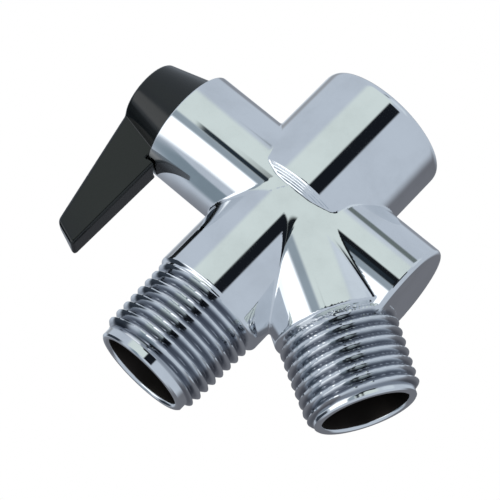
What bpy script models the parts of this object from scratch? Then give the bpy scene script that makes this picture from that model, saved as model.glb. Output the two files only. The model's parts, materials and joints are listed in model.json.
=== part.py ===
"""Three way valve: a chrome-plated brass diverter with a black lever.

The frame has its origin at the middle of the inlet's end plane, on the inlet
axis.  +Z points up out of the inlet, and the barrel that holds the rotary core
lies along X, with the lever at its -X end.  Lengths are in metres.
"""
import math

import bmesh
import bpy
import numpy as np
from mathutils import Matrix, Vector

# Clearances
GAP = 0.0003                    # between pieces that touch or turn on each other
OVERCUT = 0.0005                # how far a cutter passes the face it opens

# Body: the places of its axes and ends, measured from where inlet and barrel axes cross
INLET_HEIGHT = 0.0234
BARREL_LEVER_END = 0.0260
BARREL_CLOSED_END = 0.0244
STRAIGHT_LENGTH = 0.0397
ANGLED_LENGTH = 0.0389
ANGLED_TURN = math.radians(60.0)    # between the two outlets
ANGLED_SHIFT = -0.0008              # where the angled outlet's axis meets the barrel's

# Body: outside
INLET_RADIUS = 0.0130
INLET_ROUND = 0.0013
INLET_FOOT = 0.0008                 # the inlet's full radius stops here, above the barrel axis
INLET_FOOT_CONE = 0.0014            # height of the cone that ends it
BARREL_RADIUS = 0.0106
BARREL_ROUND = 0.0009
STRAIGHT_RADIUS = 0.0110
ANGLED_RADIUS = 0.0109
OUTLET_NECK = 0.0232                # smooth length of an outlet, from the barrel axis
THREAD_PITCH = 0.0018143            # 14 turns in an inch
THREAD_RADIUS = 0.0105              # over the first crest
THREAD_DEPTH = 0.00105
THREAD_TAPER = 1.0 / 32.0           # loss of radius along the thread
THREAD_LEAD_IN = 0.0014             # from the neck's end to the first crest
THREAD_RUN_OUT = 0.0002              # least height between the last root and the plain end
RIM_LAND_RADIUS = 0.0091            # the plain end of an outlet
RIM_CHAMFER = 0.0004

# Body: inside
OUTLET_BORE_RADIUS = 0.00765
OUTLET_BORE_DEPTH = 0.0123
OUTLET_THROAT_RADIUS = 0.0045
ANGLED_THROAT_RADIUS = 0.0042
THROAT_DROP = 0.0030                # the angled throat runs this far below the outlet axis
THROAT_START = 0.0200               # along the angled outlet's axis
STRAIGHT_PORT_FLOOR = 0.0115        # where a port ends, below the barrel axis
ANGLED_PORT_FLOOR = 0.0154
PORT_RISE = 0.0020                  # how far a port's cutter starts inside the barrel bore
ANGLED_PORT_X = 0.0130
BARREL_BORE_RADIUS = 0.0076
BARREL_END_WALL = 0.0030
GLAND_BORE_RADIUS = 0.0086
GLAND_BORE_DEPTH = 0.0075
SOCKET_RADIUS = 0.0098
SOCKET_DEPTH = 0.0122
SOCKET_CHAMFER = 0.0007
INLET_THROAT_RADIUS = 0.0052

# Core that turns in the barrel
STEM_RADIUS = 0.0046
STEM_SQUARE = 0.0060
ORING_SECTION = 0.00072             # radius of the ring's round section
ORING_GROOVE_DEPTH = 0.0018
ORING_INSETS = (0.0030, 0.0075)     # groove centres, from the journal's outer shoulder
JOURNAL_SPACE = 0.0014              # from the journal to the nearest seal cup
BACKBONE_RADIUS = 0.0022
TAIL_RADIUS = 0.0030
TAIL_LENGTH = 0.0021
CUP_INSET = 0.0020                  # a seal cup's radius is this much under the barrel bore's
CUP_WALL = 0.0007
CUP_FLOOR = -0.0014
CUP_FLOOR_WALL = 0.0010
LEVER_TRAVEL = math.radians(90.0)

# Seals
SEAL_OVERLAP = 0.0012               # how far a seal reaches past its port's edge
SEAL_SEAT = 0.0008                  # a seal's back lies this far inside its cup's rim
BACKING_THICKNESS = 0.0006
SPRING_WIRE_RADIUS = 0.0003
SPRING_INSET = 0.0013               # a coil's radius is this much under its seal's
SPRING_TURNS = 3
SPRING_POINTS_PER_TURN = 14

# Gland nut, thrust washer, stop pin and tail bush
THRUST_WASHER_THICKNESS = 0.0010
GLAND_NUT_RECESS = 0.0004           # the nut's face behind the barrel's end
NUT_SLOT_WIDTH = 0.0016
NUT_SLOT_DEPTH = 0.0012
STOP_PIN_RADIUS = 0.0009
STOP_PIN_INSET = 0.0024             # from the barrel's end
STOP_PIN_ROOT = 0.0018              # the pin's inner end, from the barrel axis
STOP_PIN_REACH = 0.0068             # its outer end
TAIL_BUSH_LENGTH = 0.0018

# Lever handle
HUB_LENGTH = 0.0093
HUB_LARGE_RADIUS = 0.0090
HUB_SMALL_RADIUS = 0.0064
HUB_ROUND = 0.0005
BLADE_INNER_FACE = 0.0018           # how far the blade reaches past the barrel's end
BLADE_TIP_DROP_INNER = 0.0313       # tip corners below the barrel axis
BLADE_TIP_DROP_OUTER = 0.0293
BLADE_TIP_WIDTH = 0.0056
BLADE_ROOT_DROP = 0.0058            # the blade starts here, inside the hub
BLADE_ROOT_HALF = 0.0031            # half thickness at the edge next to the body, at the hub
BLADE_TIP_HALF = 0.0027             # and at the tip
BLADE_OUTER_HALF = 0.0013           # half thickness at the outer edge
BLADE_ROUND = 0.0006
DRIVE_WEB = 0.0012
CAP_RADIUS = 0.0043
CAP_THICKNESS = 0.0013
SCREW_RADIUS = 0.00195
SCREW_TIP_CLEARANCE = 0.0013        # from the stop pin
SCREW_HEAD_RADIUS = 0.0034
SCREW_HEAD_HEIGHT = 0.0015
SCREW_SLOT_WIDTH = 0.0008
SCREW_SLOT_DEPTH = 0.0007
LOCK_WASHER_RADIUS = 0.0033
LOCK_WASHER_THICKNESS = 0.0005

# Pieces in the inlet
INLET_WASHER_INNER = 0.0060
INLET_WASHER_THICKNESS = 0.0022
SCREEN_THICKNESS = 0.0006
SCREEN_HOLE_RADIUS = 0.0009
SCREEN_HOLE_RINGS = 2
SCREEN_HOLE_SPACING = 0.0026

# How finely round things are made
ROUND_STEPS = 48
SMALL_STEPS = 24
PIN_STEPS = 20
ORING_STEPS = 44
HOLE_STEPS = 10

# Places worked out from the sizes above
CENTRE = Vector((0.0, 0.0, -INLET_HEIGHT))
AXIS_X = Vector((1.0, 0.0, 0.0))
AXIS_Z = Vector((0.0, 0.0, 1.0))
DOWN = -AXIS_Z
ANGLED_AXIS = Vector((math.sin(ANGLED_TURN), 0.0, -math.cos(ANGLED_TURN)))
ANGLED_NORMAL = Vector((-math.cos(ANGLED_TURN), 0.0, -math.sin(ANGLED_TURN)))
ANGLED_START = CENTRE + AXIS_X * ANGLED_SHIFT
BARREL_BORE_END = BARREL_CLOSED_END - BARREL_END_WALL
GLAND_SHOULDER = -BARREL_LEVER_END + GLAND_BORE_DEPTH
JOURNAL_OUTER = GLAND_SHOULDER
JOURNAL_RADIUS = BARREL_BORE_RADIUS - GAP
CUP_RADIUS = BARREL_BORE_RADIUS - CUP_INSET
CUP_RIM = math.sqrt((JOURNAL_RADIUS - GAP) ** 2 - CUP_RADIUS ** 2)   # over the core's axis
SEAL_RADIUS = CUP_RADIUS - CUP_WALL - GAP
SEAL_BASE = CUP_RIM - SEAL_SEAT
SPRING_RADIUS = SEAL_RADIUS - SPRING_INSET
PORT_RADIUS = SEAL_RADIUS - SEAL_OVERLAP
JOURNAL_INNER = -CUP_RADIUS - JOURNAL_SPACE
HUB_FACE = -BARREL_LEVER_END - GAP
HUB_END = HUB_FACE - HUB_LENGTH
CAP_FLOOR = HUB_END + CAP_THICKNESS + GAP
HEAD_TOP = CAP_FLOOR + GAP
HEAD_UNDER = HEAD_TOP + SCREW_HEAD_HEIGHT
LOCK_WASHER_OUTER = HEAD_UNDER + GAP
LOCK_WASHER_INNER = LOCK_WASHER_OUTER + LOCK_WASHER_THICKNESS
WEB_OUTER = LOCK_WASHER_INNER + GAP
WEB_INNER = WEB_OUTER + DRIVE_WEB
STEM_END = WEB_INNER + GAP
STEM_SHOULDER = HUB_FACE + GAP
STOP_PIN_X = -BARREL_LEVER_END + STOP_PIN_INSET
SCREW_TIP = STOP_PIN_X - STOP_PIN_RADIUS - SCREW_TIP_CLEARANCE
SOCKET_FLOOR = -SOCKET_DEPTH

parts = None
cutters = None


# ---------------------------------------------------------------- scene and objects

def clear_scene():
    """Remove every object that the file opened with."""
    for obj in list(bpy.data.objects):
        bpy.data.objects.remove(obj, do_unlink=True)


def new_collection(name):
    """Make a collection under the scene."""
    collection = bpy.data.collections.new(name)
    bpy.context.scene.collection.children.link(collection)
    return collection


def add_object(name, mesh, collection, matrix=None):
    """Link a mesh as an object, placed by a matrix."""
    obj = bpy.data.objects.new(name, mesh)
    collection.objects.link(obj)
    if matrix is not None:
        obj.matrix_world = matrix
    return obj


def place(origin, direction, turn=0.0):
    """Matrix that puts local +Z along a direction, turned about it, at a point."""
    rotation = direction.to_track_quat("Z", "Y").to_matrix().to_4x4()
    return Matrix.Translation(origin) @ rotation @ Matrix.Rotation(turn, 4, "Z")


def along_barrel(x):
    """Point on the barrel's axis at x."""
    return CENTRE + AXIS_X * x


def turned(name, profile, collection, matrix, steps=ROUND_STEPS):
    """Turn a profile about local Z; it runs down its outer side, as (radius, height)."""
    points = [(radius, 0.0, height) for radius, height in profile]
    edges = [(i, i + 1) for i in range(len(points) - 1)]
    if profile[0][0] > 0.0:
        edges.append((len(points) - 1, 0))
    mesh = bpy.data.meshes.new(name)
    mesh.from_pydata(points, edges, [])
    obj = add_object(name, mesh, collection, matrix)
    screw = obj.modifiers.new("turn", "SCREW")
    screw.axis = "Z"
    screw.steps = steps
    screw.render_steps = steps
    screw.use_merge_vertices = True
    screw.merge_threshold = 0.00001
    return obj


def rod_profile(radius, top, bottom):
    """Solid cylinder between two heights."""
    return [(0.0, top), (radius, top), (radius, bottom), (0.0, bottom)]


def ring_profile(outer, inner, top, bottom):
    """Square-edged ring between two heights."""
    return [(outer, top), (outer, bottom), (inner, bottom), (inner, top)]


def stepped(name, steps, matrix, round_steps=ROUND_STEPS):
    """Solid of stacked cylinders, as (radius, top, bottom), from the top down."""
    profile = [(0.0, steps[0][1])]
    for radius, top, bottom in steps:
        profile += [(radius, top), (radius, bottom)]
    profile.append((0.0, steps[-1][2]))
    return turned(name, profile, cutters, matrix, round_steps)


def rod(name, radius, start, end, steps=ROUND_STEPS, collection=None):
    """Cylinder between two points."""
    axis = end - start
    matrix = place(start, axis.normalized())
    return turned(name, rod_profile(radius, axis.length, 0.0), collection or cutters, matrix, steps)


def barrel_ring(name, outer, inner, x_low, x_high, steps=ROUND_STEPS, collection=None):
    """Ring on the barrel's axis between two x."""
    profile = ring_profile(outer, inner, x_high - x_low, 0.0)
    return turned(name, profile, collection or cutters, place(along_barrel(x_low), AXIS_X), steps)


def block(name, size, matrix, collection=None):
    """Box about its centre."""
    mesh = bpy.data.meshes.new(name)
    shape = bmesh.new()
    bmesh.ops.create_cube(shape, size=1.0, matrix=Matrix.Diagonal((*size, 1.0)))
    shape.to_mesh(mesh)
    shape.free()
    return add_object(name, mesh, collection or cutters, matrix)


def boolean(target, tools, operation):
    """Add one Boolean to a piece for all its tools, which are kept as hidden cutters."""
    group = bpy.data.collections.new(f"{target.name}_{operation.lower()}")
    cutters.children.link(group)
    for tool in tools:
        cutters.objects.unlink(tool)
        group.objects.link(tool)
        tool.hide_render = True
        tool.display_type = "WIRE"
    modifier = target.modifiers.new(operation.lower(), "BOOLEAN")
    modifier.operation = operation
    modifier.operand_type = "COLLECTION"
    modifier.collection = group


def cut(target, *tools):
    """Cut tools out of a piece."""
    boolean(target, tools, "DIFFERENCE")


def join(target, *tools):
    """Join tools to a piece."""
    boolean(target, tools, "UNION")


def arc(centre, radius, start, end, steps):
    """Points of an arc in a profile, from one angle to another, in degrees."""
    angles = np.radians(np.linspace(start, end, steps + 1))
    return [(centre[0] + radius * math.cos(a), centre[1] + radius * math.sin(a)) for a in angles]


# ---------------------------------------------------------------- finishes

def finish(obj, name, colour, roughness, metallic=0.0):
    """Give a piece its own Principled material and smooth shading."""
    material = bpy.data.materials.new(name)
    material.use_nodes = True
    shader = material.node_tree.nodes["Principled BSDF"]
    shader.inputs["Base Color"].default_value = (*colour, 1.0)
    shader.inputs["Roughness"].default_value = roughness
    shader.inputs["Metallic"].default_value = metallic
    obj.data.materials.append(material)
    return obj


def chrome(obj):
    """Bright chrome plate."""
    return finish(obj, obj.name + "_chrome", (0.78, 0.80, 0.81), 0.08, 1.0)


def brass(obj):
    """Bare machined brass."""
    return finish(obj, obj.name + "_brass", (0.72, 0.55, 0.27), 0.32, 1.0)


def steel(obj):
    """Stainless steel."""
    return finish(obj, obj.name + "_steel", (0.60, 0.60, 0.60), 0.28, 1.0)


def black_plastic(obj):
    """Glossy black moulding."""
    return finish(obj, obj.name + "_plastic", (0.022, 0.025, 0.024), 0.30)


def white_plastic(obj):
    """Low-friction white plastic."""
    return finish(obj, obj.name + "_plastic", (0.80, 0.79, 0.75), 0.45)


def rubber(obj):
    """Black sealing rubber."""
    return finish(obj, obj.name + "_rubber", (0.025, 0.025, 0.026), 0.70)


# ---------------------------------------------------------------- body

def outlet_profile(radius, length):
    """Outlet as (radius, distance from the barrel axis): neck, tapered ridges and plain end."""
    first = OUTLET_NECK + THREAD_LEAD_IN
    room = length - RIM_CHAMFER - THREAD_RUN_OUT - first - THREAD_PITCH / 2.0
    profile = [(radius, OUTLET_NECK), (THREAD_RADIUS - THREAD_DEPTH, first - THREAD_PITCH / 2.0)]
    for turn in range(1 + math.floor(room / THREAD_PITCH)):
        crest = THREAD_RADIUS - THREAD_TAPER * turn * THREAD_PITCH
        middle = first + turn * THREAD_PITCH
        profile += [(crest, middle), (crest - THREAD_DEPTH, middle + THREAD_PITCH / 2.0)]
    profile += [(RIM_LAND_RADIUS, length - RIM_CHAMFER), (RIM_LAND_RADIUS - RIM_CHAMFER, length)]
    profile += [(0.0, length)]
    return profile


def upright_outside(name):
    """Inlet boss, the turned cone that ends it, and the straight outlet under it."""
    foot = INLET_FOOT - INLET_HEIGHT
    profile = [(0.0, 0.0)]
    profile += arc((INLET_RADIUS - INLET_ROUND, -INLET_ROUND), INLET_ROUND, 90.0, 0.0, 4)
    profile += [(INLET_RADIUS, foot), (STRAIGHT_RADIUS, foot - INLET_FOOT_CONE)]
    profile += [(radius, -INLET_HEIGHT - distance)
                for radius, distance in outlet_profile(STRAIGHT_RADIUS, STRAIGHT_LENGTH)]
    return turned(name, profile, cutters, place(Vector(), AXIS_Z))


def angled_outside(name, matrix):
    """Angled outlet, from inside the barrel to its end."""
    profile = list(reversed(outlet_profile(ANGLED_RADIUS, ANGLED_LENGTH)))
    profile += [(ANGLED_RADIUS, 0.0), (0.0, 0.0)]
    return turned(name, profile, cutters, matrix)


def barrel_outside(name, collection):
    """Barrel: one straight cylinder with a rounded closed end and a broken edge at the lever."""
    length = BARREL_LEVER_END + BARREL_CLOSED_END
    inset = BARREL_RADIUS - BARREL_ROUND
    profile = [(0.0, length)]
    profile += arc((inset, length - BARREL_ROUND), BARREL_ROUND, 90.0, 0.0, 3)
    profile += [(BARREL_RADIUS, 0.0), (0.0, 0.0)]
    return turned(name, profile, collection, place(along_barrel(-BARREL_LEVER_END), AXIS_X))


def barrel_bore():
    """Blind bore for the core, with the wider bore of the gland at the lever end."""
    shoulder = GLAND_BORE_DEPTH + OVERCUT
    end = BARREL_LEVER_END + BARREL_BORE_END + OVERCUT
    profile = [(0.0, end), (BARREL_BORE_RADIUS, end), (BARREL_BORE_RADIUS, shoulder)]
    profile += [(GLAND_BORE_RADIUS, shoulder), (GLAND_BORE_RADIUS, 0.0), (0.0, 0.0)]
    start = along_barrel(-BARREL_LEVER_END - OVERCUT)
    return turned("barrel_bore", profile, cutters, place(start, AXIS_X))


def inlet_bore():
    """Socket for the supply pipe, with a chamfered mouth, and the throat under it."""
    mouth = SOCKET_RADIUS + SOCKET_CHAMFER
    profile = [(0.0, OVERCUT), (mouth + OVERCUT, OVERCUT), (SOCKET_RADIUS, -SOCKET_CHAMFER)]
    profile += [(SOCKET_RADIUS, SOCKET_FLOOR), (INLET_THROAT_RADIUS, SOCKET_FLOOR)]
    profile += [(INLET_THROAT_RADIUS, -INLET_HEIGHT), (0.0, -INLET_HEIGHT)]
    return turned("inlet_bore", profile, cutters, place(Vector(), AXIS_Z))


def straight_passage(matrix):
    """Port, throat and mouth of the straight outlet, one below the other."""
    steps = ((OUTLET_BORE_RADIUS, STRAIGHT_LENGTH + OVERCUT, STRAIGHT_LENGTH - OUTLET_BORE_DEPTH),
             (OUTLET_THROAT_RADIUS, STRAIGHT_LENGTH - OUTLET_BORE_DEPTH,
              STRAIGHT_PORT_FLOOR),
             (PORT_RADIUS, STRAIGHT_PORT_FLOOR, BARREL_BORE_RADIUS - PORT_RISE))
    return stepped("straight_passage", steps, matrix)


def angled_bore(matrix):
    """Mouth of the angled outlet."""
    profile = rod_profile(OUTLET_BORE_RADIUS, ANGLED_LENGTH + OVERCUT, ANGLED_LENGTH - OUTLET_BORE_DEPTH)
    return turned("angled_bore", profile, cutters, matrix)


def angled_port():
    """Round port through the floor of the barrel bore, over the angled throat."""
    start = along_barrel(ANGLED_PORT_X) + DOWN * (BARREL_BORE_RADIUS - PORT_RISE)
    end = along_barrel(ANGLED_PORT_X) + DOWN * ANGLED_PORT_FLOOR
    return rod("angled_port", PORT_RADIUS, start, end, SMALL_STEPS)


def angled_throat():
    """Passage from the angled port to its outlet's bore, below that outlet's axis."""
    base = ANGLED_START + ANGLED_NORMAL * THROAT_DROP
    start = base + ANGLED_AXIS * THROAT_START
    end = base + ANGLED_AXIS * (ANGLED_LENGTH - OUTLET_BORE_DEPTH + OVERCUT)
    return rod("angled_throat", ANGLED_THROAT_RADIUS, start, end, SMALL_STEPS)


def valve_body():
    """The one-piece body: barrel, inlet and both outlets, with every bore cut."""
    straight = place(CENTRE, DOWN)
    angled = place(ANGLED_START, ANGLED_AXIS, math.pi / ROUND_STEPS)
    body = barrel_outside("valve_body", parts)
    join(body, upright_outside("upright_outside"), angled_outside("angled_outside", angled))
    cut(body, straight_passage(straight), angled_bore(angled), angled_throat(), angled_port(),
        barrel_bore(), inlet_bore())
    return chrome(body)


# ---------------------------------------------------------------- core and its seals

def seal_matrix(x, turn):
    """Local +Z points out of the barrel axis at x; turn 0 points up."""
    direction = Matrix.Rotation(turn, 3, "X") @ AXIS_Z
    return place(along_barrel(x), direction)


def seal_stations():
    """Name, x and direction of each seal: each closes its port at one end of the travel."""
    return (("straight", 0.0, math.pi - LEVER_TRAVEL), ("angled", ANGLED_PORT_X, math.pi))


def core_profile():
    """Turned outline of the core, from its stem shoulder to its tail, without the cups."""
    base = STEM_SHOULDER
    tail = BARREL_BORE_END - GAP - TAIL_BUSH_LENGTH - GAP
    heights = [tail + TAIL_LENGTH, tail, JOURNAL_INNER, JOURNAL_OUTER, base]
    radii = [TAIL_RADIUS, BACKBONE_RADIUS, JOURNAL_RADIUS, STEM_RADIUS]
    profile = [(0.0, heights[0] - base)]
    for radius, top, bottom in zip(radii, heights[:-1], heights[1:]):
        profile += [(radius, top - base), (radius, bottom - base)]
    profile += [(0.0, 0.0)]
    return profile


def seal_cup(name, x, turn):
    """Hollow cup on the core's backbone that guides one seal."""
    inner = CUP_RADIUS - CUP_WALL
    profile = [(0.0, CUP_FLOOR), (inner, CUP_FLOOR), (inner, CUP_RIM), (CUP_RADIUS, CUP_RIM)]
    profile += [(CUP_RADIUS, CUP_FLOOR - CUP_FLOOR_WALL), (0.0, CUP_FLOOR - CUP_FLOOR_WALL)]
    return turned(name, profile, cutters, seal_matrix(x, turn), SMALL_STEPS)


def seal_space(name, x, turn):
    """Room for a seal cup, cut through the backbone."""
    profile = rod_profile(CUP_RADIUS - CUP_WALL / 2.0, CUP_RIM, CUP_FLOOR - CUP_FLOOR_WALL / 2.0)
    return turned(name, profile, cutters, seal_matrix(x, turn), SMALL_STEPS)


def oring_grooves():
    """Square grooves round the journal."""
    half = ORING_SECTION + GAP
    floor = JOURNAL_RADIUS - ORING_GROOVE_DEPTH
    middles = [JOURNAL_OUTER + inset for inset in ORING_INSETS]
    return [barrel_ring(f"groove_{number}", JOURNAL_RADIUS + OVERCUT, floor, middle - half, middle + half)
            for number, middle in enumerate(middles)]


def stem_hole():
    """Screw hole up the middle of the stem."""
    start = along_barrel(STEM_END - OVERCUT)
    return rod("stem_hole", SCREW_RADIUS + GAP, start, along_barrel(SCREW_TIP + GAP), SMALL_STEPS)


def pin_hole():
    """Hole across the stem for the stop pin."""
    start = along_barrel(STOP_PIN_X) + DOWN * (STOP_PIN_ROOT - GAP)
    end = along_barrel(STOP_PIN_X) + DOWN * (STEM_RADIUS + OVERCUT)
    return rod("pin_hole", STOP_PIN_RADIUS + GAP, start, end, PIN_STEPS)


def diverter_core():
    """Rotary core: square drive, sealed journal, two seal cups and a tail pivot."""
    core = turned("diverter_core", core_profile(), parts, place(along_barrel(STEM_SHOULDER), AXIS_X))
    square_length = STEM_SHOULDER - STEM_END + OVERCUT
    square_x = STEM_END + square_length / 2.0
    size = (square_length, STEM_SQUARE, STEM_SQUARE)
    join(core, block("stem_square", size, Matrix.Translation(along_barrel(square_x))))
    for name, x, turn in seal_stations():
        cut(core, seal_space(name + "_space", x, turn))
        join(core, seal_cup(name + "_cup", x, turn))
    cut(core, *oring_grooves(), stem_hole(), pin_hole())
    return brass(core)


def stem_orings():
    """The two rings that seal the journal in the barrel bore."""
    major = BARREL_BORE_RADIUS - GAP - ORING_SECTION
    for name, inset in zip(("stem_oring_outer", "stem_oring_inner"), ORING_INSETS):
        profile = arc((major, 0.0), ORING_SECTION, 90.0, -270.0, 8)[:-1]
        matrix = place(along_barrel(JOURNAL_OUTER + inset), AXIS_X)
        rubber(turned(name, profile, parts, matrix, ORING_STEPS))


def port_seals():
    """Rubber seal, backing disc and spring in each cup."""
    for name, x, turn in seal_stations():
        matrix = seal_matrix(x, turn)
        pad = turned(name + "_port_seal", rod_profile(SEAL_RADIUS, BARREL_BORE_RADIUS, SEAL_BASE),
                     parts, matrix, SMALL_STEPS)
        limit = rod(name + "_seal_face", BARREL_BORE_RADIUS - GAP,
                    along_barrel(x - CUP_RADIUS * 2.0), along_barrel(x + CUP_RADIUS * 2.0))
        boolean(pad, [limit], "INTERSECT")
        rubber(pad)
        backing_top = SEAL_BASE - GAP
        backing = rod_profile(SEAL_RADIUS, backing_top, backing_top - BACKING_THICKNESS)
        steel(turned(name + "_seal_backing", backing, parts, matrix, SMALL_STEPS))
        low = CUP_FLOOR + GAP + SPRING_WIRE_RADIUS
        high = backing_top - BACKING_THICKNESS - GAP - SPRING_WIRE_RADIUS
        steel(coil_spring(name + "_seal_spring", low, high, matrix))


def coil_spring(name, low, high, matrix):
    """Round wire wound from one height to another about local Z."""
    count = SPRING_TURNS * SPRING_POINTS_PER_TURN + 1
    curve = bpy.data.curves.new(name + "_wire", "CURVE")
    curve.dimensions = "3D"
    curve.bevel_depth = SPRING_WIRE_RADIUS
    curve.bevel_resolution = 1
    curve.use_fill_caps = True
    spline = curve.splines.new("POLY")
    spline.points.add(count - 1)
    for number, point in enumerate(spline.points):
        share = number / (count - 1)
        angle = 2.0 * math.pi * SPRING_TURNS * share
        height = low + (high - low) * share
        point.co = (SPRING_RADIUS * math.cos(angle), SPRING_RADIUS * math.sin(angle), height, 1.0)
    return add_object(name, curve, parts, matrix)


# ---------------------------------------------------------------- gland, bush and stop

def sector_block(name, inner, outer, x_low, x_high, start, end, steps):
    """Part of a ring about the barrel axis, between two angles from straight down."""
    shape = bmesh.new()
    outline = []
    for radius, angles in ((outer, np.linspace(start, end, steps)), (inner, np.linspace(end, start, steps))):
        for angle in angles:
            direction = Matrix.Rotation(angle, 3, "X") @ DOWN
            outline.append(shape.verts.new(along_barrel(x_low) + direction * radius))
    face = shape.faces.new(outline)
    extruded = bmesh.ops.extrude_face_region(shape, geom=[face])
    moved = [item for item in extruded["geom"] if isinstance(item, bmesh.types.BMVert)]
    bmesh.ops.translate(shape, verts=moved, vec=AXIS_X * (x_high - x_low))
    bmesh.ops.recalc_face_normals(shape, faces=shape.faces)
    mesh = bpy.data.meshes.new(name)
    shape.to_mesh(mesh)
    shape.free()
    return add_object(name, mesh, cutters)


def gland_nut():
    """Threaded ring that keeps the core in, with spanner slots and the stop's window."""
    outer_face = -BARREL_LEVER_END + GLAND_NUT_RECESS
    inner_face = GLAND_SHOULDER - GAP - THRUST_WASHER_THICKNESS - GAP
    nut = barrel_ring("gland_nut", GLAND_BORE_RADIUS - GAP, STEM_RADIUS + GAP,
                      outer_face, inner_face, collection=parts)
    reach = STOP_PIN_REACH + GAP
    margin = math.asin((STOP_PIN_RADIUS + GAP) / STEM_RADIUS)
    window = sector_block("stop_window", STEM_RADIUS - OVERCUT, reach, outer_face - OVERCUT,
                          STOP_PIN_X + STOP_PIN_RADIUS + GAP, -margin, LEVER_TRAVEL + margin, SMALL_STEPS)
    size = (NUT_SLOT_DEPTH * 2.0, NUT_SLOT_WIDTH, GLAND_BORE_RADIUS * 2.0)
    middle = LEVER_TRAVEL / 2.0
    turned_box = Matrix.Rotation(middle + math.pi / 2.0, 4, "X")
    cut(nut, window, block("nut_slots", size, Matrix.Translation(along_barrel(outer_face)) @ turned_box))
    return brass(nut)


def thrust_washer():
    """Slippery washer between the gland nut and the core's shoulder."""
    high = GLAND_SHOULDER - GAP
    washer = barrel_ring("thrust_washer", GLAND_BORE_RADIUS - GAP, STEM_RADIUS + GAP,
                         high - THRUST_WASHER_THICKNESS, high, collection=parts)
    return white_plastic(washer)


def tail_bush():
    """Bush at the blind end that carries the core's tail."""
    high = BARREL_BORE_END - GAP
    bush = barrel_ring("tail_bush", BARREL_BORE_RADIUS - GAP, TAIL_RADIUS + GAP,
                       high - TAIL_BUSH_LENGTH, high, collection=parts)
    return white_plastic(bush)


def stop_pin():
    """Pin across the stem that stops the lever at both ends of its travel."""
    start = along_barrel(STOP_PIN_X) + DOWN * STOP_PIN_ROOT
    end = along_barrel(STOP_PIN_X) + DOWN * STOP_PIN_REACH
    return steel(rod("stop_pin", STOP_PIN_RADIUS, start, end, PIN_STEPS, parts))


# ---------------------------------------------------------------- lever handle and its fixings

def hub_outside():
    """Tapered hub with a rounded outer edge."""
    slope = math.degrees(math.atan2(HUB_LARGE_RADIUS - HUB_SMALL_RADIUS, HUB_LENGTH))
    centre = (HUB_SMALL_RADIUS - HUB_ROUND, HUB_LENGTH - HUB_ROUND)
    profile = [(0.0, HUB_LENGTH)]
    profile += arc(centre, HUB_ROUND, 90.0, slope, 4)
    profile += [(HUB_LARGE_RADIUS, 0.0), (0.0, 0.0)]
    return turned("lever_handle", profile, parts, place(along_barrel(HUB_FACE), -AXIS_X))


def blade():
    """Tapered blade: thick and straight next to the body, thin and sloping outside."""
    inner_x = -BARREL_LEVER_END + BLADE_INNER_FACE
    tip_outer_x = inner_x - BLADE_TIP_WIDTH
    hub_edge = Vector((HUB_END + HUB_ROUND / 2.0, 0.0, -HUB_SMALL_RADIUS))
    slope = (tip_outer_x - hub_edge.x) / (BLADE_TIP_DROP_OUTER - HUB_SMALL_RADIUS)
    root_outer_x = hub_edge.x - slope * (HUB_SMALL_RADIUS - BLADE_ROOT_DROP)
    corners = {(1, -1): (inner_x, -BLADE_TIP_DROP_INNER), (1, 1): (inner_x, -BLADE_ROOT_DROP),
               (-1, -1): (tip_outer_x, -BLADE_TIP_DROP_OUTER), (-1, 1): (root_outer_x, -BLADE_ROOT_DROP)}
    shape = bmesh.new()
    bmesh.ops.create_cube(shape, size=2.0)
    for vertex in shape.verts:
        side = round(vertex.co.x)
        x, z = corners[(side, round(vertex.co.z))]
        inner_half = BLADE_ROOT_HALF if vertex.co.z > 0.0 else BLADE_TIP_HALF
        half = inner_half if side > 0 else BLADE_OUTER_HALF
        vertex.co = CENTRE + Vector((x, half * round(vertex.co.y), z))
    mesh = bpy.data.meshes.new("blade")
    shape.to_mesh(mesh)
    shape.free()
    obj = add_object("blade", mesh, cutters)
    bevel = obj.modifiers.new("round", "BEVEL")
    bevel.width = BLADE_ROUND
    bevel.segments = 2
    return obj


def drive_socket():
    """Square socket for the stem."""
    side = STEM_SQUARE + GAP * 2.0
    depth = HUB_FACE - WEB_INNER + OVERCUT
    middle = along_barrel(WEB_INNER + depth / 2.0)
    return block("drive_socket", (depth, side, side), Matrix.Translation(middle))


def screw_recess():
    """Stepped hole for the cap, the screw's head and its shank, from the hub's end inwards."""
    steps = ((SCREW_RADIUS + GAP, WEB_INNER + OVERCUT, WEB_OUTER),
             (SCREW_HEAD_RADIUS + GAP, WEB_OUTER, CAP_FLOOR),
             (CAP_RADIUS + GAP, CAP_FLOOR, HUB_END - OVERCUT))
    return stepped("screw_recess", steps, place(CENTRE, AXIS_X), SMALL_STEPS)


def lever_handle():
    """Moulded handle: hub and blade in one, with the drive socket and screw recess."""
    handle = hub_outside()
    join(handle, blade())
    clear = BARREL_RADIUS + GAP
    barrel = rod("barrel_clearance", clear, along_barrel(HUB_FACE), along_barrel(0.0))
    cut(handle, barrel, drive_socket(), screw_recess())
    return black_plastic(handle)


def handle_screw():
    """Pan-head screw that holds the handle on the stem."""
    profile = [(0.0, SCREW_TIP - HEAD_TOP), (SCREW_RADIUS, SCREW_TIP - HEAD_TOP)]
    profile += [(SCREW_RADIUS, SCREW_HEAD_HEIGHT), (SCREW_HEAD_RADIUS, SCREW_HEAD_HEIGHT)]
    profile += [(SCREW_HEAD_RADIUS, 0.0), (0.0, 0.0)]
    screw = turned("handle_screw", profile, parts, place(along_barrel(HEAD_TOP), AXIS_X), SMALL_STEPS)
    size = (SCREW_SLOT_DEPTH * 2.0, SCREW_SLOT_WIDTH, SCREW_HEAD_RADIUS)
    turns = [Matrix.Rotation(math.pi / 2.0 * number, 4, "X") for number in range(2)]
    cut(screw, *[block(f"screw_slot_{number}", size, Matrix.Translation(along_barrel(HEAD_TOP)) @ turn)
                 for number, turn in enumerate(turns)])
    return steel(screw)


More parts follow.
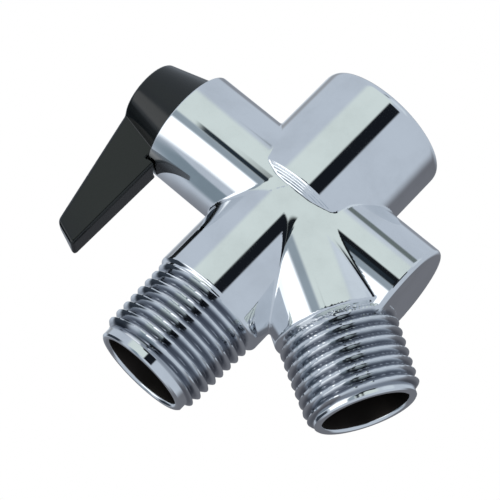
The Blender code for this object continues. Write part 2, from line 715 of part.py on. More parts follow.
def lock_washer():
    """Washer under the screw's head."""
    washer = barrel_ring("lock_washer", LOCK_WASHER_RADIUS, SCREW_RADIUS + GAP,
                         LOCK_WASHER_OUTER, LOCK_WASHER_INNER, SMALL_STEPS, parts)
    return steel(washer)


def handle_cap():
    """Button that covers the screw, flush with the hub's end."""
    cap = rod("handle_cap", CAP_RADIUS, along_barrel(HUB_END), along_barrel(HUB_END + CAP_THICKNESS),
              SMALL_STEPS, parts)
    return black_plastic(cap)


# ---------------------------------------------------------------- inlet washer and screen

def inlet_washer():
    """Rubber washer on the socket's floor."""
    low = SOCKET_FLOOR + GAP
    profile = ring_profile(SOCKET_RADIUS - GAP, INLET_WASHER_INNER, low + INLET_WASHER_THICKNESS, low)
    return rubber(turned("inlet_washer", profile, parts, place(Vector(), AXIS_Z)))


def inlet_screen():
    """Perforated strainer disc on the washer."""
    low = SOCKET_FLOOR + GAP + INLET_WASHER_THICKNESS + GAP
    profile = rod_profile(SOCKET_RADIUS - GAP, low + SCREEN_THICKNESS, low)
    screen = turned("inlet_screen", profile, parts, place(Vector(), AXIS_Z))
    cut(screen, *screen_holes(low - OVERCUT, low + SCREEN_THICKNESS + OVERCUT))
    return steel(screen)


def screen_holes(low, high):
    """Rings of round holes between two heights."""
    holes = []
    for ring in range(SCREEN_HOLE_RINGS + 1):
        count = max(1, 6 * ring)
        for number in range(count):
            angle = 2.0 * math.pi * number / count
            offset = Vector((math.cos(angle), math.sin(angle), 0.0)) * SCREEN_HOLE_SPACING * ring
            holes.append(rod(f"screen_hole_{ring}_{number}", SCREEN_HOLE_RADIUS,
                             offset + AXIS_Z * low, offset + AXIS_Z * high, HOLE_STEPS))
    return holes


# ---------------------------------------------------------------- assembly

def shade():
    """Smooth the round pieces and keep their edges."""
    for obj in parts.objects:
        if obj.type == "MESH":
            obj.data.shade_smooth()
            obj.data.set_sharp_from_angle(angle=math.radians(35.0))


def put_on_pivot(names):
    """Parent the pieces that turn with the lever to an empty on the barrel's axis."""
    pivot = bpy.data.objects.new("lever_turn_pivot", None)
    parts.objects.link(pivot)
    pivot.location = CENTRE
    bpy.context.view_layer.update()
    for name in names:
        obj = bpy.data.objects[name]
        obj.parent = pivot
        obj.matrix_parent_inverse = pivot.matrix_world.inverted()


def build():
    """Build every piece of the valve."""
    global parts, cutters
    clear_scene()
    parts = new_collection("three_way_valve")
    cutters = new_collection("cutters")
    valve_body()
    diverter_core()
    stem_orings()
    port_seals()
    gland_nut()
    thrust_washer()
    tail_bush()
    stop_pin()
    lever_handle()
    handle_screw()
    lock_washer()
    handle_cap()
    inlet_washer()
    inlet_screen()
    put_on_pivot(("diverter_core", "stem_oring_outer", "stem_oring_inner",
                  "straight_port_seal", "straight_seal_backing", "straight_seal_spring",
                  "angled_port_seal", "angled_seal_backing", "angled_seal_spring",
                  "stop_pin", "lever_handle", "handle_screw", "lock_washer", "handle_cap"))
    shade()


build()
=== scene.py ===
"""Looks for a three way valve: a chrome-plated cast body, a black lever and the pieces inside.

Shapes are worked out in millimetres from the point where the inlet's and the barrel's
axes cross: +X runs along the barrel to its closed end, +Z up out of the inlet.  A mesh
is turned into metres in the row frame, whose origin is the middle of the inlet's end.
"""

import json
import logging
import math
from dataclasses import dataclass, field
from enum import Enum
from typing import Callable, Iterable, Sequence

import bmesh
import bpy
import numpy as np
from mathutils import Matrix, Vector


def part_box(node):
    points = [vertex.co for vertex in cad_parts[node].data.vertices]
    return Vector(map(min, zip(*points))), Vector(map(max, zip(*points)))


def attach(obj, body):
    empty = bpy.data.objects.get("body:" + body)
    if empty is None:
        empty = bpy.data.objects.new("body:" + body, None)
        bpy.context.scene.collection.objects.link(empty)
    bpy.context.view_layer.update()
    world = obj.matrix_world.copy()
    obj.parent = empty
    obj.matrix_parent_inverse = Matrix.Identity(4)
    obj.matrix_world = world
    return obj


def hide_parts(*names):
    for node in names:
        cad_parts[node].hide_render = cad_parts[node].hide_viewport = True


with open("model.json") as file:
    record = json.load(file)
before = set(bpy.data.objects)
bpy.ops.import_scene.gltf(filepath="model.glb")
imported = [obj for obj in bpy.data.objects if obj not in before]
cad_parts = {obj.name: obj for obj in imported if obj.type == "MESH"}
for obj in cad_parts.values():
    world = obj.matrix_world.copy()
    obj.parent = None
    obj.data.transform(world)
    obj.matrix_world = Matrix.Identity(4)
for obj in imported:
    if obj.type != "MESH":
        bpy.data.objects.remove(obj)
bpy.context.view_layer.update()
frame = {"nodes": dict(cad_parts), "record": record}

log = logging.getLogger("valve")

Array = np.ndarray
Surface = tuple[Array, list]

METRE = 0.001                    # a millimetre, in metres
INLET_HEIGHT = 23.4              # from the axes' crossing up to the inlet's end
PAST_END = 60.0                  # lies past every end of the casting


class Rides(str, Enum):
    """The body a piece moves with."""

    VALVE = "valve"
    ROTOR = "rotor"


class Slot(str, Enum):
    """The record's material slots."""

    CHROME = "chrome_plate"
    PLASTIC = "black_plastic"
    BRASS = "brass"
    STEEL = "steel"
    RUBBER = "rubber"
    WHITE = "white_plastic"


# ---------------------------------------------------------------- shapes as numbers


def row_frame(points: Array) -> Array:
    """Turns millimetres from the axes' crossing into metres in the row frame.

    Args:
        points: rows of x, y, z in millimetres.

    Returns:
        The same rows in metres, with the inlet's end plane at z = 0.
    """
    return (points - np.array([0.0, 0.0, INLET_HEIGHT])) * METRE


def drum(radius: Array, along: Array, low: float, high: float, size: float,
         low_round: float = 0.1, high_round: float = 0.1) -> Array:
    """Distance to a cylinder whose end edges are rounded.

    In the plane of (radius, along) it is the distance to a rectangle that is smaller
    by the rounding, less the rounding.

    Args:
        radius: distance of each point from the cylinder's axis.
        along: place of each point along that axis.
        low: where the cylinder starts.
        high: where it ends.
        size: its radius.
        low_round: edge rounding at its start.
        high_round: edge rounding at its end.

    Returns:
        Signed distances, below zero inside.
    """
    middle = 0.5 * (low + high)
    edge = np.where(along > middle, high_round, low_round)
    out = radius - (size - edge)
    past = np.abs(along - middle) - (0.5 * (high - low) - edge)
    inside = np.minimum(np.maximum(out, past), 0.0)
    return inside + np.hypot(np.maximum(out, 0.0), np.maximum(past, 0.0)) - edge


def weld(a: Array, b: Array, fillet: float) -> Array:
    """Union of two distance fields with a round fillet where they meet.

    Closer than the fillet to both, the distance is the fillet's radius less the
    length of (fillet - a, fillet - b).

    Args:
        a: distances to the first solid.
        b: distances to the second solid.
        fillet: radius of the fillet.

    Returns:
        Distances to the two joined.
    """
    near_a = np.maximum(fillet - a, 0.0)
    near_b = np.maximum(fillet - b, 0.0)
    return np.maximum(fillet, np.minimum(a, b)) - np.hypot(near_a, near_b)


def trim(a: Array, b: Array, edge: float) -> Array:
    """Common part of two distance fields, its shared edge rounded by edge."""
    return -weld(-a, -b, edge)


def blend(a: Array, b: Array, share: Array) -> Array:
    """Goes smoothly from a to b: a + (b - a) * (3 t^2 - 2 t^3), with t = share in 0 to 1."""
    t = np.clip(share, 0.0, 1.0)
    return a + (b - a) * t * t * (3.0 - 2.0 * t)


@dataclass(frozen=True)
class Thread:
    """A rounded screw thread, as radius over place along the axis and angle round it."""

    first: float                 # place of the first crest at angle 0
    crest: float                 # radius over the first crest
    depth: float
    pitch: float = 1.8143        # 14 turns in an inch
    taper: float = 1.0 / 32.0    # radius lost along the axis
    sharpness: float = 0.965     # 1 gives straight flanks, less rounds crest and root

    def radius(self, along: Array, angle: Array) -> Array:
        """Radius of the thread.

        The crest falls by the taper.  Under it the depth times a rounded triangle wave
        is taken away: acos(k cos(2 pi turns)) / pi, with turns counted along the helix.

        Args:
            along: places along the axis.
            angle: angles round it, in radians.

        Returns:
            Radii at those places.
        """
        turns = (along - self.first) / self.pitch - angle / (2.0 * np.pi)
        wave = np.arccos(self.sharpness * np.cos(2.0 * np.pi * turns)) / np.pi
        low = math.acos(self.sharpness) / math.pi
        wave = (wave - low) / (1.0 - 2.0 * low)
        return self.crest - self.taper * (along - self.first) - self.depth * wave


@dataclass(frozen=True)
class Axis:
    """A place to turn shapes round: where it starts, which way it runs, and angle 0."""

    start: tuple[float, float, float]
    along: tuple[float, float, float]
    side: tuple[float, float, float]

    def local(self, points: Array) -> tuple[Array, Array, Array]:
        """Points as (across along side, across the other way, along) from the start."""
        rest = points - np.array(self.start)
        other = np.cross(self.along, self.side)
        return rest @ np.array(self.side), rest @ other, rest @ np.array(self.along)

    def place(self, radius: Array, angle: Array, along: Array, shift: Array | float = 0.0) -> Array:
        """Points of a turned surface: start + r cos(a) side + r sin(a) other + s along.

        Args:
            radius: distance from the axis.
            angle: angle round it.
            along: place along it.
            shift: how far the circle's middle is moved to the side.

        Returns:
            Points, with x, y, z in the last axis.
        """
        across = radius * np.cos(angle) + shift
        up = radius * np.sin(angle)
        across, up, along = np.broadcast_arrays(across, up, along)
        other = np.cross(self.along, self.side)
        return (np.array(self.start) + across[..., None] * np.array(self.side)
                + up[..., None] * other + along[..., None] * np.array(self.along))


def rounded(corners: Sequence[tuple[float, float, float]], steps: int = 4) -> Array:
    """Open outline whose inner corners are rounded.

    Each corner is replaced by points of the curve (1-t)^2 a + 2t(1-t) c + t^2 b, which
    leaves the straight lines one rounding away from the corner c.

    Args:
        corners: (along, radius, rounding) of each corner.
        steps: points on each rounding, less one.

    Returns:
        Rows of (along, radius).
    """
    points = np.array([c[:2] for c in corners], float)
    rows = [points[:1]]
    t = np.linspace(0.0, 1.0, steps + 1)[:, None]
    for before, corner, after, size in zip(points, points[1:], points[2:], [c[2] for c in corners[1:]]):
        if size <= 0.0:
            rows.append(corner[None])
            continue
        a = corner + (before - corner) * min(size / np.linalg.norm(before - corner), 0.49)
        b = corner + (after - corner) * min(size / np.linalg.norm(after - corner), 0.49)
        rows.append((1 - t) ** 2 * a + 2 * t * (1 - t) * corner + t * t * b)
    rows.append(points[-1:])
    return np.vstack(rows)


def grid_faces(rows: int, columns: int, start: int = 0, loop_rows: bool = False) -> list:
    """Quads of a grid whose columns close on themselves.

    Args:
        rows: rings in the grid.
        columns: points on each ring.
        start: number of the first point.
        loop_rows: the last ring also joins the first.

    Returns:
        Faces as lists of point numbers.
    """
    number = start + np.arange(rows * columns).reshape(rows, columns)
    below = number if loop_rows else number[:-1]
    above = np.roll(number, -1, 0) if loop_rows else number[1:]
    return np.stack([below, np.roll(below, -1, 1), np.roll(above, -1, 1), above], -1).reshape(-1, 4).tolist()


def ring_order(after: Array, first: int) -> Array:
    """Points of a closed ring, in the order in which they are met from the first one.

    Every point starts with the point after it and a count of one step.  Each round
    doubles how far it looks ahead, until all points of the ring know their distance
    to the first.

    Args:
        after: for each point the number of the one that follows it, or its own number.
        first: where the ring starts.

    Returns:
        Point numbers.
    """
    jump, steps = after.copy(), (after != np.arange(len(after))).astype(int)
    jump[first], steps[first] = first, 0
    for _ in range(int(math.log2(len(after))) + 2):
        steps = steps + steps[jump]
        jump = jump[jump]
    member = np.nonzero((jump == first) & (after != np.arange(len(after))))[0]
    ahead = member[np.argsort(-steps[member])]
    return np.r_[first, ahead[ahead != first]]


def zipper(first: Array, first_angle: Array, second: Array, second_angle: Array) -> list:
    """Triangles between two closed rings with unlike numbers of points.

    Both rings are walked once round, from the first ring's own start.  Each edge of
    one ring makes a triangle with the point of the other ring that was passed last.

    Args:
        first: point numbers of one ring, in order.
        first_angle: their angles, which may step back a little here and there.
        second: point numbers of the other ring.
        second_angle: their angles.

    Returns:
        Triangles as lists of point numbers.
    """
    full = 2.0 * np.pi
    a, a_angle = first, np.unwrap(first_angle)
    if a_angle[-1] < a_angle[0]:
        a, a_angle = a[::-1], np.unwrap(first_angle[::-1])
    start = a_angle[0]
    a_angle = np.minimum(np.maximum.accumulate(a_angle), start + full * 0.9999)
    b_angle = start + full - (start - second_angle) % full
    order = np.argsort(b_angle)
    b, b_angle = second[order], b_angle[order]
    last_b = np.searchsorted(b_angle, np.append(a_angle[1:], start + full), side="right") - 1
    last_a = np.searchsorted(a_angle, b_angle, side="left") - 1
    one = np.stack([a, np.roll(a, -1), b[last_b]], -1)
    two = np.stack([np.roll(b, 1), a[last_a], b], -1)
    return one.tolist() + two.tolist()


class LevelSurface:
    """The closed surface where a distance field is zero."""

    def __init__(self, distance: Callable[[Array], Array], low: Sequence[float],
                 high: Sequence[float], pitch: float) -> None:
        """Keeps the field and the box that it is looked at in.

        Args:
            distance: signed distance at rows of points.
            low: lowest corner of the box.
            high: highest corner of the box.
            pitch: spacing of the samples.
        """
        self.distance = distance
        self.low = np.array(low, float)
        self.pitch = pitch
        self.counts = np.ceil((np.array(high) - self.low) / pitch).astype(int) + 1

    def samples(self) -> Array:
        """Field values on the box's lattice, one layer at a time along x."""
        axes = [self.low[k] + self.pitch * np.arange(self.counts[k]) for k in range(3)]
        layer = np.stack(np.meshgrid([0.0], axes[1], axes[2], indexing="ij"), -1)[0]
        values = np.empty(self.counts)
        for index, x in enumerate(axes[0]):
            layer[..., 0] = x
            values[index] = self.distance(layer)
        return values

    def mesh(self) -> tuple[Array, Array]:
        """A point in each lattice cell that the surface crosses and a quad for each crossed edge.

        A cell's point is the mean of the places where its twelve edges cross zero,
        found by straight interpolation.  It is then moved onto the surface.

        Returns:
            Points and quads.
        """
        values = self.samples()
        inside = values < 0.0
        cells = tuple(self.counts - 1)
        corners = [np.array([i, j, k]) for i in (0, 1) for j in (0, 1) for k in (0, 1)]
        total = sum(inside[c[0]:c[0] + cells[0], c[1]:c[1] + cells[1], c[2]:c[2] + cells[2]].astype(np.int8)
                    for c in corners)
        index = np.argwhere((total > 0) & (total < 8))
        place = np.zeros((len(index), 3))
        crossed = np.zeros(len(index))
        for a in corners:
            for step in np.eye(3, dtype=int):
                b = a + step
                if b.max() > 1:
                    continue
                va = values[tuple((index + a).T)]
                vb = values[tuple((index + b).T)]
                cut = (va < 0.0) != (vb < 0.0)
                share = np.where(cut, va / np.where(cut, va - vb, 1.0), 0.0)
                place += np.where(cut[:, None], a + share[:, None] * step, 0.0)
                crossed += cut
        points = self.low + self.pitch * (index + place / crossed[:, None])
        number = np.full(cells, -1)
        number[tuple(index.T)] = np.arange(len(index))
        quads = [self.crossed_edges(inside, number, axis) for axis in range(3)]
        return self.settle(points), np.vstack(quads)

    @staticmethod
    def crossed_edges(inside: Array, number: Array, axis: int) -> Array:
        """Quads round the lattice edges along one axis that cross the surface.

        Args:
            inside: which lattice points are inside.
            number: point number of each cell, or -1.
            axis: 0, 1 or 2.

        Returns:
            Rows of four point numbers, facing out.
        """
        here = np.moveaxis(inside, axis, 0)
        cell = np.moveaxis(number, axis, 0)
        start, end = here[:-1, 1:-1, 1:-1], here[1:, 1:-1, 1:-1]
        i, j, k = np.nonzero(start != end)
        ring = np.stack([cell[i, j, k], cell[i, j + 1, k], cell[i, j + 1, k + 1], cell[i, j, k + 1]], -1)
        outwards = start[i, j, k] == (axis != 1)
        return np.where(outwards[:, None], ring, ring[:, ::-1])

    def slope(self, points: Array) -> Array:
        """Gradient of the field by central differences, a thousandth of a millimetre each way."""
        reach = 0.001
        steps = np.eye(3) * reach
        rises = [self.distance(points + step) - self.distance(points - step) for step in steps]
        return np.stack(rises, -1) / (2.0 * reach)

    def settle(self, points: Array, rounds: int = 4) -> Array:
        """Moves points onto the surface by Newton's steps, each at most half a pitch long."""
        for _ in range(rounds):
            slope = self.slope(points)
            step = self.distance(points)[:, None] * slope / ((slope ** 2).sum(-1, keepdims=True) + 1e-9)
            size = np.linalg.norm(step, axis=-1, keepdims=True)
            points = points - step * np.minimum(1.0, 0.5 * self.pitch / (size + 1e-9))
        return points

    def normals(self, points: Array) -> Array:
        """Unit normals of the surface at points on it."""
        slope = self.slope(points)
        return slope / (np.linalg.norm(slope, axis=-1, keepdims=True) + 1e-12)


def mesh_arrays(mesh: bpy.types.Mesh) -> tuple[Array, Array]:
    """Points and triangles of a mesh that has only triangles."""
    places = np.empty(len(mesh.vertices) * 3)
    mesh.vertices.foreach_get("co", places)
    corners = np.empty(len(mesh.loops), int)
    mesh.loops.foreach_get("vertex_index", corners)
    return places.reshape(-1, 3), corners.reshape(-1, 3)


def thinned(points: Array, faces: Array, share: float) -> tuple[Array, Array]:
    """Fewer triangles for the same surface, keeping more where it bends.

    Args:
        points: the mesh's points.
        faces: its faces.
        share: part of the triangles to keep.

    Returns:
        Points and triangles.
    """
    mesh = bpy.data.meshes.new("thinning")
    mesh.from_pydata(points.tolist(), [], faces.tolist())
    obj = bpy.data.objects.new("thinning", mesh)
    bpy.context.scene.collection.objects.link(obj)
    modifier = obj.modifiers.new("fewer", "DECIMATE")
    modifier.ratio = share
    modifier.use_collapse_triangulate = True
    result = bpy.data.meshes.new_from_object(obj.evaluated_get(bpy.context.evaluated_depsgraph_get()))
    arrays = mesh_arrays(result)
    bpy.data.objects.remove(obj)
    bpy.data.meshes.remove(mesh)
    bpy.data.meshes.remove(result)
    return arrays


def unpinched(shell: bmesh.types.BMesh) -> None:
    """Clears the points where more than two faces share an edge, and fills each hole that leaves."""
    pinched = {v for edge in shell.edges if len(edge.link_faces) > 2 for v in edge.verts}
    around = {edge for v in pinched for face in v.link_faces for edge in face.edges
              if pinched.isdisjoint(edge.verts)}
    bmesh.ops.delete(shell, geom=list(pinched), context="VERTS")
    bmesh.ops.holes_fill(shell, edges=list(around), sides=0)


def sliced(points: Array, faces: Array, planes: Iterable[tuple[Sequence[float], Sequence[float]]]
           ) -> tuple[Array, Array, list[Array], Array]:
    """Cuts a mesh off at planes.

    Args:
        points: the mesh's points.
        faces: its triangles.
        planes: (point, normal) of each plane; what is in front of it goes.

    Returns:
        Points, triangles, for each plane which points lie on it, and for each point
        the one that follows it along an open edge, or itself.
    """
    planes = list(planes)
    mesh = bpy.data.meshes.new("slicing")
    mesh.from_pydata(points.tolist(), [], faces.tolist())
    shell = bmesh.new()
    shell.from_mesh(mesh)
    unpinched(shell)
    for point, normal in planes:
        everything = list(shell.verts) + list(shell.edges) + list(shell.faces)
        bmesh.ops.bisect_plane(shell, geom=everything, plane_co=point, plane_no=normal,
                               clear_outer=True, dist=1e-5)
    bmesh.ops.triangulate(shell, faces=shell.faces)
    shell.to_mesh(mesh)
    shell.free()
    places, corners = mesh_arrays(mesh)
    bpy.data.meshes.remove(mesh)
    begin, end = corners.ravel(), np.roll(corners, -1, 1).ravel()
    count = len(places)
    open_edge = ~np.isin(begin * count + end, end * count + begin)
    after = np.arange(count)
    after[begin[open_edge]] = end[open_edge]
    on = []
    for point, normal in planes:
        height = (places - np.array(point)) @ (np.array(normal) / np.linalg.norm(normal))
        on.append(np.nonzero((after != np.arange(count)) & (np.abs(height) < 1e-3))[0])
    return places, corners, on, after


# ---------------------------------------------------------------- pieces in the scene


@dataclass
class Piece:
    """A mesh that is ready to stand in the scene."""

    name: str
    points: Array
    faces: list
    body: Rides
    slot: Slot
    material: bpy.types.Material
    replaces: tuple[str, ...] = ()
    sharp: float = 32.0          # edges that turn more than this stay crisp, in degrees
    values: dict[str, Array] = field(default_factory=dict)
    normals: Array | None = None

    def put(self) -> bpy.types.Object:
        """Makes the object, turns its faces outwards, and fastens it to its body.

        Returns:
            The new object, at the origin, with its place in its mesh.
        """
        mesh = bpy.data.meshes.new(self.name)
        mesh.from_pydata(row_frame(self.points).tolist(), [], self.faces)
        for name, numbers in self.values.items():
            mesh.attributes.new(name, "FLOAT", "POINT").data.foreach_set("value", numbers.astype(np.float32))
        shell = bmesh.new()
        shell.from_mesh(mesh)
        bmesh.ops.recalc_face_normals(shell, faces=shell.faces)
        shell.to_mesh(mesh)
        shell.free()
        mesh.polygons.foreach_set("use_smooth", [True] * len(mesh.polygons))
        mesh.set_sharp_from_angle(angle=math.radians(self.sharp))
        if self.normals is not None:
            self.set_normals(mesh)
        mesh.materials.append(self.material)
        obj = bpy.data.objects.new(self.name, mesh)
        bpy.context.scene.collection.objects.link(obj)
        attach(obj, self.body.value)
        if self.replaces:
            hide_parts(*self.replaces)
        log.info("%s: %d faces, rides on %s", self.name, len(mesh.polygons), self.body.value)
        return obj

    def set_normals(self, mesh: bpy.types.Mesh) -> None:
        """Gives each face corner the surface's own normal where that lies near the face's.

        Args:
            mesh: the piece's mesh, whose points are in the order of self.normals.
        """
        count = len(mesh.loops)
        corner = np.empty(count * 3, np.float32)
        mesh.corner_normals.foreach_get("vector", corner)
        corner = corner.reshape(-1, 3)
        point = np.empty(count, int)
        mesh.loops.foreach_get("vertex_index", point)
        flat = np.empty(len(mesh.polygons) * 3, np.float32)
        mesh.polygons.foreach_get("normal", flat)
        sides = np.empty(len(mesh.polygons), int)
        mesh.polygons.foreach_get("loop_total", sides)
        flat = np.repeat(flat.reshape(-1, 3), sides, axis=0)
        own = self.normals[point]
        close = (own * flat).sum(-1) > math.cos(math.radians(self.sharp))
        mesh.normals_split_custom_set(np.where(close[:, None], own, corner).tolist())


def ring_surface(axis: Axis, outline: Array, steps: int, closed: bool) -> Surface:
    """Turns an outline round an axis: each row of the outline is one ring of points.

    Args:
        axis: what it turns round.
        outline: rows of (along, radius).
        steps: points on each ring.
        closed: the outline is a loop, as a washer's is; otherwise both ends lie on the axis.

    Returns:
        Points and faces.
    """
    angle = np.linspace(0.0, 2.0 * np.pi, steps, endpoint=False)
    if closed:
        points = axis.place(outline[:, 1:2], angle[None], outline[:, :1])
        return points.reshape(-1, 3), grid_faces(len(outline), steps, loop_rows=True)
    rings = axis.place(outline[1:-1, 1:2], angle[None], outline[1:-1, :1]).reshape(-1, 3)
    ends = axis.place(np.zeros(2), np.zeros(2), outline[[0, -1], 0])
    count = len(outline) - 2
    faces = grid_faces(count, steps)
    around = np.arange(steps)
    after = np.roll(around, -1)
    last = (count - 1) * steps
    faces += np.stack([np.full(steps, count * steps), after, around], -1).tolist()
    faces += np.stack([np.full(steps, count * steps + 1), last + around, last + after], -1).tolist()
    return np.vstack([rings, ends]), faces


def tube_surface(path: Array, radius: float, steps: int = 12) -> Surface:
    """A round wire along a path, closed at both ends.

    Each ring lies across the path's direction, turned by the direction's cross
    product with a fixed one, which the path never follows.

    Args:
        path: points along the wire.
        radius: the wire's radius.
        steps: points on each ring.

    Returns:
        Points and faces.
    """
    direction = np.gradient(path, axis=0)
    direction /= np.linalg.norm(direction, axis=1, keepdims=True)
    across = np.cross(direction, [0.0, 0.0, 1.0])
    across /= np.linalg.norm(across, axis=1, keepdims=True)
    other = np.cross(direction, across)
    angle = np.linspace(0.0, 2.0 * np.pi, steps, endpoint=False)
    rings = (path[:, None] + radius * (np.cos(angle)[None, :, None] * across[:, None]
                                       + np.sin(angle)[None, :, None] * other[:, None]))
    faces = grid_faces(len(path), steps)
    faces.append(list(range(steps)))
    faces.append([len(path) * steps - 1 - i for i in range(steps)])
    return rings.reshape(-1, 3), faces


# ---------------------------------------------------------------- the cast body


@dataclass(frozen=True)
class ArmEnd:
    """The turned end of one arm of the casting, from the cut that joins it to the middle."""

    axis: Axis
    cut: float                   # where the cut crosses the axis
    tilt: float = 0.0            # how far the cut climbs for each millimetre to the side
    split: float = 9.0           # radius between the cut's outer and inner ring
    throat_shift: float = 0.0    # how far the throat's middle lies to the side

    def cut_plane(self) -> tuple[Array, Array]:
        """A point on the cut and its normal, which points to the arm's end."""
        point = np.array(self.axis.start) + self.cut * np.array(self.axis.along)
        return point, np.array(self.axis.along) - self.tilt * np.array(self.axis.side)

    def cut_height(self, across: Array) -> Array:
        """Place along the axis where the cut lies, a little above it, at a distance to the side."""
        return self.cut + self.tilt * across + 0.12


@dataclass(frozen=True)
class Outlet:
    """A threaded outlet: smooth neck, tapered thread, plain end, bore and throat."""

    arm: ArmEnd
    radius: float
    length: float
    throat: float
    thread: Thread
    run_out: float               # where the thread starts to fade into the plain end
    neck: float = 22.7           # where the smooth neck starts to turn into the thread
    neck_fade: float = 1.0       # length over which it does
    land_fade: float = 0.8       # length over which the thread turns into the plain end
    land: float = 9.1            # radius of the plain end
    rim_edge: float = 0.35
    bore: float = 7.65
    bore_depth: float = 12.3
    bore_edge: float = 0.3       # the bore's floor starts this far in from its wall
    steps: int = 144
    row_height: float = 0.165
    bore_rows: int = 8
    throat_count: int = 5

    def outside(self, along: Array, angle: Array) -> Array:
        """Radius of the outside: the neck runs into the thread, which runs out into the plain end.

        Args:
            along: places along the outlet.
            angle: angles round it.

        Returns:
            Radii there.
        """
        radius = blend(self.radius, self.thread.radius(along, angle), (along - self.neck) / self.neck_fade)
        return blend(radius, self.land, (along - self.run_out) / self.land_fade)

    def distance(self, points: Array) -> Array:
        """Distance to the outlet's outside, which starts at the barrel's axis."""
        across, other, along = self.arm.axis.local(points)
        radius = np.hypot(across, other)
        steep = np.where(along > self.neck, 0.8, 1.0)
        wall = (radius - self.outside(along, np.arctan2(other, across))) * steep
        return np.maximum(wall, -along)

    def groove_shade(self, points: Array) -> Array:
        """How deep each point lies in the thread: 0 at a crest's height, 1 at the root's.  It is the mask for
        painted shade at the thread roots.
        """
        across, other, along = self.arm.axis.local(points)
        radius = np.hypot(across, other)
        crest = self.thread.crest - self.thread.taper * (along - self.thread.first)
        deep = np.clip((crest - radius) / self.thread.depth, 0.0, 1.0)
        share = np.clip((along - self.neck - 0.6) / 0.8, 0.0, 1.0)
        share *= np.clip((self.run_out + 1.0 - along) / 0.6, 0.0, 1.0)
        return deep * share * (radius > self.bore + 0.5) * (radius < self.radius + 1.0)

    def rows(self) -> tuple[Array, Array, Array, Array]:
        """The end as rings: up the thread, over the rim, down the bore and into the throat.

        Returns:
            Along and radius for each ring and angle, and each ring's shift and inside mark.
        """
        angle = np.linspace(0.0, 2.0 * np.pi, self.steps, endpoint=False)
        top = self.length - self.rim_edge
        low = self.arm.cut_height(self.radius * np.cos(angle))
        count = int((top - self.arm.cut) / self.row_height)
        share = np.linspace(0.0, 1.0, count)[:, None]
        along = low + (top - low) * share
        radius = self.outside(along, angle[None])
        floor = self.length - self.bore_depth
        rim = rounded([(top, self.land, 0), (self.length, self.land - self.rim_edge, 0.2),
                       (self.length, self.bore + self.rim_edge, 0.15),
                       (self.length - self.rim_edge, self.bore, 0.2),
                       (self.length - 1.2, self.bore, 0)])[1:]
        bore = np.linspace(self.length - 2.0, floor + self.bore_edge, self.bore_rows)
        low_in = self.arm.cut_height(self.arm.throat_shift + self.throat * np.cos(angle))
        down = np.linspace(0.0, 1.0, self.throat_count)[:, None]
        throat_rows = (floor - 0.1) + (low_in - floor + 0.1) * down
        flat = np.ones(self.steps)
        parts = [(along, radius, 0.0, 0.0)]
        parts += [(s * flat, r * flat, 0.0, float(r <= self.bore)) for s, r in rim]
        parts += [(s * flat, self.bore * flat, 0.0, 1.0) for s in bore]
        parts += [(floor * flat, (self.bore - self.bore_edge) * flat, 0.0, 1.0)]
        parts += [(throat_rows, np.full(throat_rows.shape, self.throat), self.arm.throat_shift, 1.0)]
        all_along = np.vstack([np.atleast_2d(p[0]) for p in parts])
        all_radius = np.vstack([np.atleast_2d(p[1]) for p in parts])
        sizes = [len(np.atleast_2d(p[0])) for p in parts]
        shift = np.repeat([p[2] for p in parts], sizes)
        mark = np.repeat([p[3] for p in parts], sizes)
        return all_along, all_radius, shift, mark


